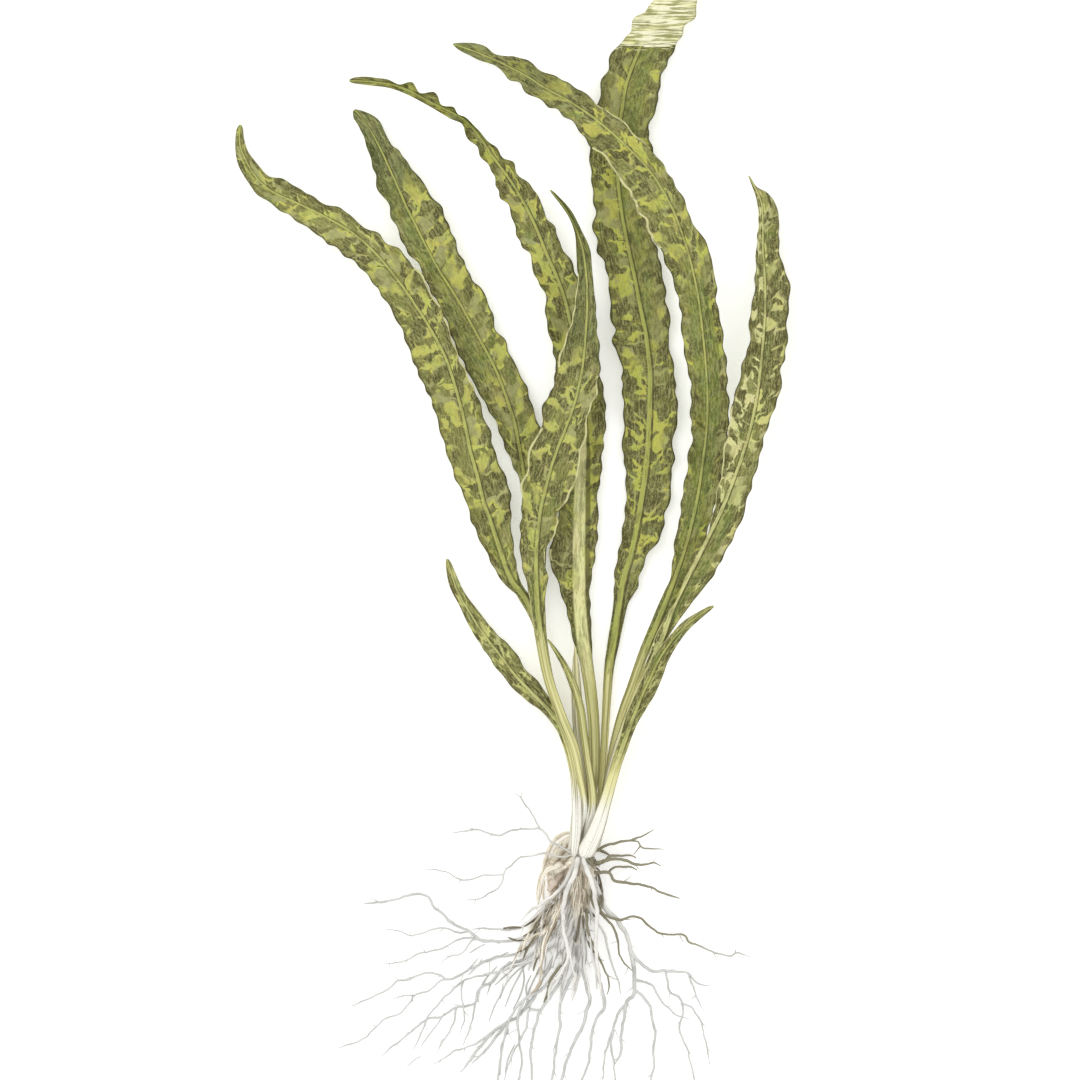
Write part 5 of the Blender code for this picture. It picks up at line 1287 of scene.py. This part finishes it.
def make_leaf(name, order, sizes, colours):
    """A leaf with its stalk: one closed skin, with what its paint needs at each vertex."""
    squares = route_length(LEAVES[name]["stalk"])
    if "rib" in LEAVES[name]:
        squares += route_length(LEAVES[name]["rib"])
    piece, rings, ring, corner = ringed_tube(name + "_grown", SIDES, cuts_for(squares, sizes.leaf_step))
    route, normals, left, right, at, stalk_end = leaf_rings(name, rings)
    mean = 0.5 * (left + right)
    flat = flatness(name, mean, at, stalk_end)[ring]

    # where each vertex is in its section: -1 at the left edge, 1 at the right
    turn = corner / SIDES
    front = turn < 0.5
    straight = np.where(front, 1.0 - 4.0 * turn, -3.0 + 4.0 * turn)
    side = np.cos(2 * math.pi * turn) * (1 - flat) + straight * flat
    rightward = side > 0
    out = np.abs(side)
    half = np.where(rightward, right[ring], left[ring])
    half_mm = half * SQUARE / MM
    out_mm = out * half_mm

    # steps of the side veins along the leaf, unevenly spaced where they leave the rib
    step = sizes.vein_step / SQUARE
    rib_turns = (at - stalk_end) / step + VEIN_DRIFT * wobble(at, step * 5.0, "veins " + name)
    lean = LEAN * np.where(rightward, 1.0, LEFT_LEAN)
    vein = rib_turns[ring] - lean * out + np.where(rightward, 0.0, 0.5)

    # half the thickness: a fluted stalk that flattens into a thin blade with a raised rib
    mean_mm = mean * SQUARE / MM
    thick = mean_mm * PRESSED[name] if name in PRESSED else np.full(rings, STALK_THICK)
    thick = np.minimum(thick, mean_mm)[ring]
    flutes = FLUTES * 2 * math.pi * turn + FLUTE_DRIFT * wobble(at, FLUTE_WAVE, "stalk " + name)[ring]
    round_half = np.sqrt(np.clip(1 - side ** 2, 0, 1)) * thick * (1.0 + FLUTE_DEPTH * np.cos(flutes))
    blade_half = 0.5 * sizes.blade / MM * (1.0 - out ** 10)
    shares, widths = zip(*RIB_WIDTHS.get(name, RIB_WIDTHS[""]))
    rib_share = (at - stalk_end) / max(at[-1] - stalk_end, 1.0)
    rib_half = np.interp(rib_share, shares, widths)[ring] * SQUARE / MM
    before = sizes.rib_front / MM * np.minimum(rib_half / 0.6, 3.0) * np.exp(-(out_mm / rib_half) ** 4)
    behind = sizes.rib_back / MM * np.exp(-(out_mm / (rib_half + 0.3)) ** 2)
    rib_fade = np.minimum(1.0, 0.25 + mean / 14.0)[ring] * ease(0.0, RIB_FADE, at[-1] - at)[ring]
    rib = np.where(front, before, behind) * rib_fade
    height = (round_half * (1 - flat) + (blade_half + rib) * flat) * np.where(front, 1.0, -1.0)

    # the middle surface: cupped, in slow waves, ruffled and puckered
    cup = out ** 2
    phase = order * 1.7 + np.where(rightward, 1.1, 0.0)
    slow = WAVE * np.sin(2 * math.pi * at[ring] / WAVE_LENGTH + phase)
    ruffle = sizes.ruffle / MM * np.sin(math.pi * vein + phase) * ease(0.45, 1.0, out)
    swell = np.sin(math.pi * vein) ** 2 * np.sin(math.pi * np.clip(out, 0, 1) ** 0.8)
    pucker = sizes.pucker / MM * (swell - 0.4) * ease(0.05, 0.4, out)
    grown = ease(RUFFLED_FROM, RUFFLED_FULL, mean)[ring]
    lift = flat * (cup * (RISE * half_mm + slow) + (ruffle + pucker) * grown) + route[ring, 3] * cup

    # the margin's scallops
    scallop = flat * grown * sizes.scallop / SQUARE / np.maximum(half, 4.0)
    reach = side * half * (1.0 + scallop * np.cos(2 * math.pi * vein) * out)
    x = route[ring, 0] - reach * normals[ring, 0]
    y = route[ring, 1] - reach * normals[ring, 1]
    z = np.maximum(route[ring, 2] + height + lift, ON_TABLE + LEAST_BLADE * front)
    put_places(piece, np.stack(sheet(x, y, z), axis=1))

    # where another leaf lies below, just beyond each margin, for the painted highlight along it
    over = []
    for beside in (LOOK_OUT * left, -LOOK_OUT * right):
        over_x = route[:, 0] + beside * normals[:, 0]
        over_y = route[:, 1] + beside * normals[:, 1]
        over.append(lies_over(name, over_x, over_y, route[:, 2] + 1.0))
    put_attributes(
        piece, along=at[ring] * SQUARE, across=reach * SQUARE, side=side, vein=vein,
        rib=reach * SQUARE / MM / rib_half, share=at[ring] / at[-1],
        back=np.where(front, 0.0, ease(0.0, 0.1, 1 - out)),
        bleached=ease(*BLEACHED_ROWS, y) if name == "leaf_tall" else np.zeros(len(y)),
        over=np.where(rightward, over[1][ring], over[0][ring]))
    face_outwards(piece)
    slot = "sheath" if name == "sheath_old" else name
    settle(piece, slot, leaf_paint(name, order, colours), name)


def line_piece(name, lines, resolution):
    """Tubes with closed ends along lines of (x, y, z, radius), all in metres."""
    choose_none()
    bpy.ops.curve.primitive_nurbs_path_add()
    path = bpy.context.object
    path.name = name
    curve = path.data
    curve.splines.clear()
    curve.bevel_depth = 1.0
    curve.bevel_resolution = resolution
    curve.use_fill_caps = True
    curve.twist_mode = "Z_UP"
    for line in lines:
        spline = curve.splines.new("POLY")
        spline.points.add(len(line) - 1)
        spline.points.foreach_set("co", np.column_stack([line[:, :3], np.ones(len(line))]).ravel())
        spline.points.foreach_set("radius", line[:, 3])
    bpy.ops.object.convert(target="MESH")
    bpy.ops.object.mode_set(mode="EDIT")
    bpy.ops.mesh.select_all(action="SELECT")
    bpy.ops.mesh.remove_doubles(threshold=SAME_PLACE)
    bpy.ops.mesh.normals_make_consistent(inside=False)
    bpy.ops.object.mode_set(mode="OBJECT")
    return bpy.context.object


def solid_heights(tree, route):
    """Height of the middle of a solid root under each point of a route, in mm."""
    heights = np.full(len(route), np.nan)
    for i, (x, y) in enumerate(route):
        px, py, pz = sheet(x, y, 0.0)
        top = tree.ray_cast(Vector((px, py, 0.1)), Vector((0, 0, -1)))[0]
        bottom = tree.ray_cast(Vector((px, py, -0.1)), Vector((0, 0, 1)))[0]
        if top is not None and bottom is not None:
            heights[i] = 0.5 * (top.z + bottom.z) / MM
    known = np.isfinite(heights)
    return np.interp(np.arange(len(route)), np.flatnonzero(known), heights[known])


def way_in(name):
    """Two corners inside the crown that lead to a root's first one, and the height of the first of them."""
    x, y = ROOTS[name][0][2][0]
    if name in EMERGING:
        mid_x, mid_y, mid_z = EMERGING[name]
    else:
        up = WAY_IN_SHORT if y < WAY_IN_ROW else WAY_IN_LONG
        mid_x, mid_y, mid_z, girth = min(CROWN, key=lambda spot: math.hypot(spot[0] - x, spot[1] + up - y))
        mid_x += 0.5 * girth * MM / SQUARE * math.copysign(1.0, x - mid_x)
    return [(x + (mid_x - x) * share, y + (mid_y - y) * share) for share in (1.0, 0.5)], mid_z


def make_root(name, sizes, material, slot):
    """A root with its forks and rootlets, along the lines of its solid."""
    tree = solid_tree(name)
    chance = random.Random(name)
    mains = []
    rootlets = []
    inner, inner_z = way_in(name)
    for number, (start, end, corners) in enumerate(ROOTS[name]):
        if number == 0:
            corners = inner + corners
        squares = route_length(corners)
        count = max(8, round(squares * SQUARE / sizes.root_step))
        route = curve_through(corners, count)
        at = np.linspace(0.0, squares, count)
        z = solid_heights(tree, route)

        # inside the crown it runs from the crown's middle to its solid's height
        if number == 0:
            outside = route_length(corners[:3]) + WAY_IN_LIFT
            own = np.interp(outside, at, z)
            risen = own + (inner_z - own) * np.maximum(1.0 - at / outside, 0.0) ** 1.5
            z = np.where(at < outside, risen, z)
        z = evened(z, 5)

        # its girth, and how far it strays to each side of its line
        tip = ease(0.0, ROOT_TIP, squares - at)
        radius = np.interp(at, [0.0, squares], [start, end]) * (0.55 + 0.45 * tip)
        girth = sizes.root_share + 0.09 * wobble(at, GIRTH_WAVE, name + " girth %d" % number)
        radius *= girth * SLIMMER.get(name, 1.0)
        normal = leftward(route)
        away = wobble(at, WAY_WAVE, name + " way %d" % number)
        away += 0.6 * wobble(at, KINK_WAVE, name + " kink %d" % number)
        away *= sizes.wander / SQUARE
        away *= ease(0.0, 10.0, at) * (0.4 + 0.6 * tip)
        x = route[:, 0] + normal[:, 0] * away
        y = route[:, 1] + normal[:, 1] * away
        z = np.maximum(z, radius + ON_TABLE)
        mains.append(np.column_stack([*sheet(x, y, z), radius * MM]))
        place = chance.uniform(*ROOTLET_FIRST)
        while place < squares - ROOTLET_LAST:
            i = min(int(np.searchsorted(at, place)), count - 2)
            spot = (x[i], y[i], z[i], radius[i])
            rootlets.append(rootlet(spot, normal[i], route[i + 1] - route[i], sizes, chance))
            place += chance.uniform(*ROOTLET_NEXT)
    piece = line_piece(name + "_grown", mains, 3)
    if rootlets:
        fine = line_piece(name + "_rootlets", rootlets, 1)
        choose_none()
        fine.select_set(True)
        piece.select_set(True)
        bpy.context.view_layer.objects.active = piece
        bpy.ops.object.join()
    settle(piece, slot, material, name)


def rootlet(spot, normal, ahead, sizes, chance):
    """One fine side root: out of its root at a slant, then down to the table."""
    x, y, z, radius = spot
    ahead = ahead / max(float(np.hypot(*ahead)), 1e-6)
    side = chance.choice((-1.0, 1.0))
    slant = chance.uniform(0.35, 0.9)
    way = normal * side * math.sin(slant) + ahead * math.cos(slant)
    heading = math.atan2(way[1], way[0])
    reach = chance.uniform(0.4, 1.0) * sizes.rootlet / SQUARE
    thick = 0.5 * sizes.rootlet_thick / MM * chance.uniform(0.6, 1.0)
    thick = min(thick, radius * 0.6)
    points = []
    for k in range(ROOTLET_STEPS):
        share = k / (ROOTLET_STEPS - 1)
        width = thick * (1.0 - 0.65 * share)
        low = width + ON_TABLE
        height = low + max(0.0, z - low) * (1.0 - share) ** 2 * (1.0 - 0.4 * share)
        points.append((*sheet(x, y, height), width * MM))
        heading += chance.uniform(-0.35, 0.35)
        x += math.cos(heading) * reach / (ROOTLET_STEPS - 1)
        y += math.sin(heading) * reach / (ROOTLET_STEPS - 1)
    return np.array(points)


def make_crown(sizes, colours):
    """The short stem, ringed by old leaf feet, with dark fibres over it."""
    piece, rings, ring, corner = ringed_tube("crown_grown", CROWN_SIDES, CROWN_CUTS)
    route = curve_through(CROWN, rings)
    angle = 2 * math.pi * corner / CROWN_SIDES
    along = np.linspace(0.0, 1.0, rings)
    ridges = 0.5 * np.cos(5 * angle + 9.0 * along[ring]) + 0.4 * np.cos(13 * angle - 5.0 * along[ring])
    steps = np.abs(np.sin(math.pi * 9.0 * along[ring] + 0.8 * np.sin(angle)))
    folds = sizes.fold / MM * (ridges - steps) * ease(0.0, 0.2, along)[ring]
    neck = 0.35 + 0.65 * np.sqrt(ease(-0.02, 0.10, along))[ring]
    radius = (route[ring, 3] * 0.96 + folds) * neck
    x = route[ring, 0] + radius * MM / SQUARE * np.cos(angle)
    z = np.maximum(route[ring, 2] + radius * np.sin(angle), ON_TABLE)
    put_places(piece, np.stack(sheet(x, route[ring, 1], z), axis=1))
    face_outwards(piece)
    settle(piece, "crown", crown_paint(colours), "crown")


def laid(trees, route, widths, above):
    """A strand's points and radii in metres, where it lies over what is below it."""
    heights = []
    for x, y in route:
        px, py, pz = sheet(x, y, 0.0)
        hits = [tree.ray_cast(Vector((px, py, 0.05)), Vector((0, 0, -1)))[0] for tree in trees]
        heights.append(max([hit.z / MM for hit in hits if hit is not None], default=0.0))
    heights = evened(np.array(heights), 3)
    z = np.maximum(heights + widths * 0.6 + above, widths + ON_TABLE)
    return np.column_stack([*sheet(route[:, 0], route[:, 1], z), widths * MM])


def fan_strand(fan, number, chance):
    """One strand of a fan: its route, its half widths and its heights above what lies below."""
    (x0, y0), (x1, y1), spread0, spread1, count, thick, bowed, tint = fan
    side = chance.uniform(-1.0, 1.0)
    start = np.array([x0 + side * spread0, y0 + chance.uniform(-4.0, 4.0)])
    end = np.array([x1 + side * spread1 + chance.uniform(-2.5, 2.5), y1])
    first = chance.uniform(0.0, 0.55)
    last = min(1.0, first + chance.uniform(0.25, 0.6))
    shares = np.linspace(first, last, FAN_STEPS)
    route = start[None, :] + (end - start)[None, :] * shares[:, None]
    bow = (bowed + chance.uniform(-2.5, 2.5)) * np.sin(math.pi * shares)
    route[:, 0] += bow + 1.1 * wobble(shares * 60.0, 26.0, "bow %s %d %d" % (tint, number, x0))
    route[:, 1] += 0.35 * bow
    swollen = 0.35 + 0.65 * np.sin(math.pi * np.linspace(0.12, 0.92, FAN_STEPS))
    widths = 0.5 * thick * chance.uniform(0.5, 1.0) * swollen
    arch = 0.5 * np.sin(math.pi * np.linspace(0.0, 1.0, FAN_STEPS)) * chance.uniform(0.0, 1.0)
    return route, widths, arch


def knot_strand(number, thick, corners):
    """A single strand: its route and its half widths."""
    squares = route_length(corners)
    count = max(12, round(squares / 1.6))
    widths = 0.5 * thick * (0.30 + 0.70 * np.sin(math.pi * np.linspace(0.06, 0.94, count)) ** 0.7)
    widths *= 1.0 + 0.16 * wobble(np.linspace(0.0, 1.0, count) * squares, 9.0, "knot %d" % number)
    return curve_through(corners, count), widths


def strand_paint(tint, colours):
    """The skin of the strands of one colour."""
    # each strand's line colour is also the colour of its painted shade where it faces sideways or down
    base, line, spots, near, far = {
        "brown": (colours.root_brown, colours.root_olive, 0.6, None, None),
        "olive": (colours.root_olive, colours.fibre, 0.5, (colours.fibre, 0.3), None),
        "tan": (colours.root_tan, colours.root_brown, 0.7, None, None),
        "knot": (colours.root_knot, colours.root_brown, 0.7, None, None),
        "grey": (colours.root_grey, colours.root_line, 0.4, (colours.root_olive, 0.3), None),
        "pale": (colours.root_pale, colours.root_grey, 0.5, None, (colours.root_grey, 0.2)),
        "dark": (colours.fibre, colours.root_line, 0.5, None, None),
    }[tint]
    return root_paint("strands_" + tint, base, line, spots, near, far)


def make_strands(colours):
    """Old fibres over the crown and fine roots around it, which lie on the solids below them."""
    below = [name for name in ROOTS if name not in EMERGING] + ["crown"]
    trees = [solid_tree(name) for name in below]
    chance = random.Random("strands")
    bundles = {}
    for fan in FANS:
        count, tint = fan[4], fan[7]
        for number in range(count):
            route, widths, arch = fan_strand(fan, number, chance)
            bundles.setdefault(tint, []).append(laid(trees, route, widths, arch))
    for number, (tint, thick, above, corners) in enumerate(KNOTS):
        route, widths = knot_strand(number, thick, corners)
        bundles.setdefault(tint, []).append(laid(trees, route, widths, above))
    for tint, lines in bundles.items():
        strands = line_piece("strands_" + tint, lines, 1)
        skinned(strands, strand_paint(tint, colours))
        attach(strands, "root")


class PLANT_OT_leaves(bpy.types.Operator):
    """Grow the leaves with their stalks, in place of their solids"""

    bl_idname = "plant.leaves"
    bl_label = "Leaves"

    def execute(self, context):
        for order, name in enumerate(LEAVES):
            make_leaf(name, order, context.scene.plant_sizes, context.scene.plant_colours)
        return {"FINISHED"}


class PLANT_OT_crown(bpy.types.Operator):
    """Make the crown and the fine strands over it and around it"""

    bl_idname = "plant.crown"
    bl_label = "Crown"

    def execute(self, context):
        make_crown(context.scene.plant_sizes, context.scene.plant_colours)
        make_strands(context.scene.plant_colours)
        return {"FINISHED"}


class PLANT_OT_roots(bpy.types.Operator):
    """Lay the roots with their forks and rootlets along their solids"""

    bl_idname = "plant.roots"
    bl_label = "Roots"

    def execute(self, context):
        tints = context.scene.plant_colours
        line = tints.root_line
        dark = tints.fibre
        grey = tints.root_grey
        # each skin's colour after its base is for lines and creases, and for the painted shade where the root
        # faces sideways or down
        skins = {
            "root_pale": root_paint("root_pale", tints.root_pale, line, 0.35, far=(grey, 0.8)),
            "root_grey": root_paint("root_grey", grey, line, 0.30, near=(tints.root_pale, 0.6)),
            "root_olive": root_paint("root_olive", tints.root_olive, dark, 0.6, (dark, 0.3), (grey, 0.75)),
            "root_brown": root_paint("root_brown", tints.root_brown, dark, 0.4, (tints.root_tan, 0.4),
                                     (grey, 0.3)),
            "root_tuft": root_paint("root_tan", tints.root_tan, line, 0.5),
        }
        for name in ROOTS:
            slot = ROOT_SLOTS.get(name, "root_grey")
            make_root(name, context.scene.plant_sizes, skins.get(name, skins[slot]), slot)
        return {"FINISHED"}


class PLANT_OT_stage(bpy.types.Operator):
    """Set the pale table, the soft light and the camera above"""

    bl_idname = "plant.stage"
    bl_label = "Table, light and camera"

    def execute(self, context):
        choose_none()
        bpy.ops.mesh.primitive_plane_add(size=TABLE_SIZE)
        table = context.object
        table.name = "table"
        paint = Paint("table_top")
        cloud = paint.noise(paint.place(), 3.0, 2.0)
        top = context.scene.plant_colours.table
        skin = paint.mix(cloud * 0.25, top, [0.97 * share for share in top])
        table.data.materials.append(paint.finish(skin, 0.9 + cloud * 0.02))
        # painted light: the table glows of its own, which lightens the shadows on it
        paint.shader.inputs["Emission Color"].default_value = (1.0, 1.0, 1.0, 1.0)
        paint.shader.inputs["Emission Strength"].default_value = TABLE_GLOW

        scene = context.scene
        scene.view_settings.view_transform = "Standard"
        world = bpy.data.worlds.new("soft_light")
        world.use_nodes = True
        sky = world.node_tree.nodes["Background"]
        sky.inputs["Color"].default_value = (1.0, 1.0, 1.0, 1.0)
        sky.inputs["Strength"].default_value = 1.0
        scene.world = world
        bpy.ops.object.light_add(type="AREA", location=LAMP_PLACE)
        lamp = context.object
        lamp.name = "soft_lamp"
        lamp.data.shape = "DISK"
        lamp.data.size = LAMP_SIZE
        lamp.data.energy = LAMP_POWER
        lamp.rotation_euler = (-lamp.location).to_track_quat("-Z", "Y").to_euler()

        x, y, z = sheet(*PICTURE, MEAN_LEAF)
        bpy.ops.object.camera_add(location=(x, y, z + VIEW_HEIGHT), rotation=(0.0, 0.0, 0.0))
        camera = context.object
        camera.data.sensor_width = FILM
        camera.data.lens = FILM * VIEW_HEIGHT / (PICTURE_WIDE * SQUARE)
        camera.data.clip_end = VIEW_REACH
        scene.camera = camera
        return {"FINISHED"}


class PLANT_PT_panel(bpy.types.Panel):
    """The plant's pieces, sizes and colours"""

    bl_label = "Cryptocoryne"
    bl_idname = "PLANT_PT_panel"
    bl_space_type = "VIEW_3D"
    bl_region_type = "UI"
    bl_category = "Plant"

    def draw(self, context):
        for operator in (PLANT_OT_leaves, PLANT_OT_crown, PLANT_OT_roots, PLANT_OT_stage):
            self.layout.operator(operator.bl_idname)
        for group in (context.scene.plant_sizes, context.scene.plant_colours):
            box = self.layout.box()
            for name in group.__annotations__:
                box.prop(group, name)


CLASSES = (PlantSizes, PlantColours, PLANT_OT_leaves, PLANT_OT_crown, PLANT_OT_roots, PLANT_OT_stage,
           PLANT_PT_panel)


def register():
    for cls in CLASSES:
        bpy.utils.register_class(cls)
    bpy.types.Scene.plant_sizes = bpy.props.PointerProperty(type=PlantSizes)
    bpy.types.Scene.plant_colours = bpy.props.PointerProperty(type=PlantColours)


def unregister():
    del bpy.types.Scene.plant_colours
    del bpy.types.Scene.plant_sizes
    for cls in reversed(CLASSES):
        bpy.utils.unregister_class(cls)


def main():
    register()
    bpy.ops.plant.leaves()
    bpy.ops.plant.crown()
    bpy.ops.plant.roots()
    bpy.ops.plant.stage()


if __name__ == "__main__":
    main()
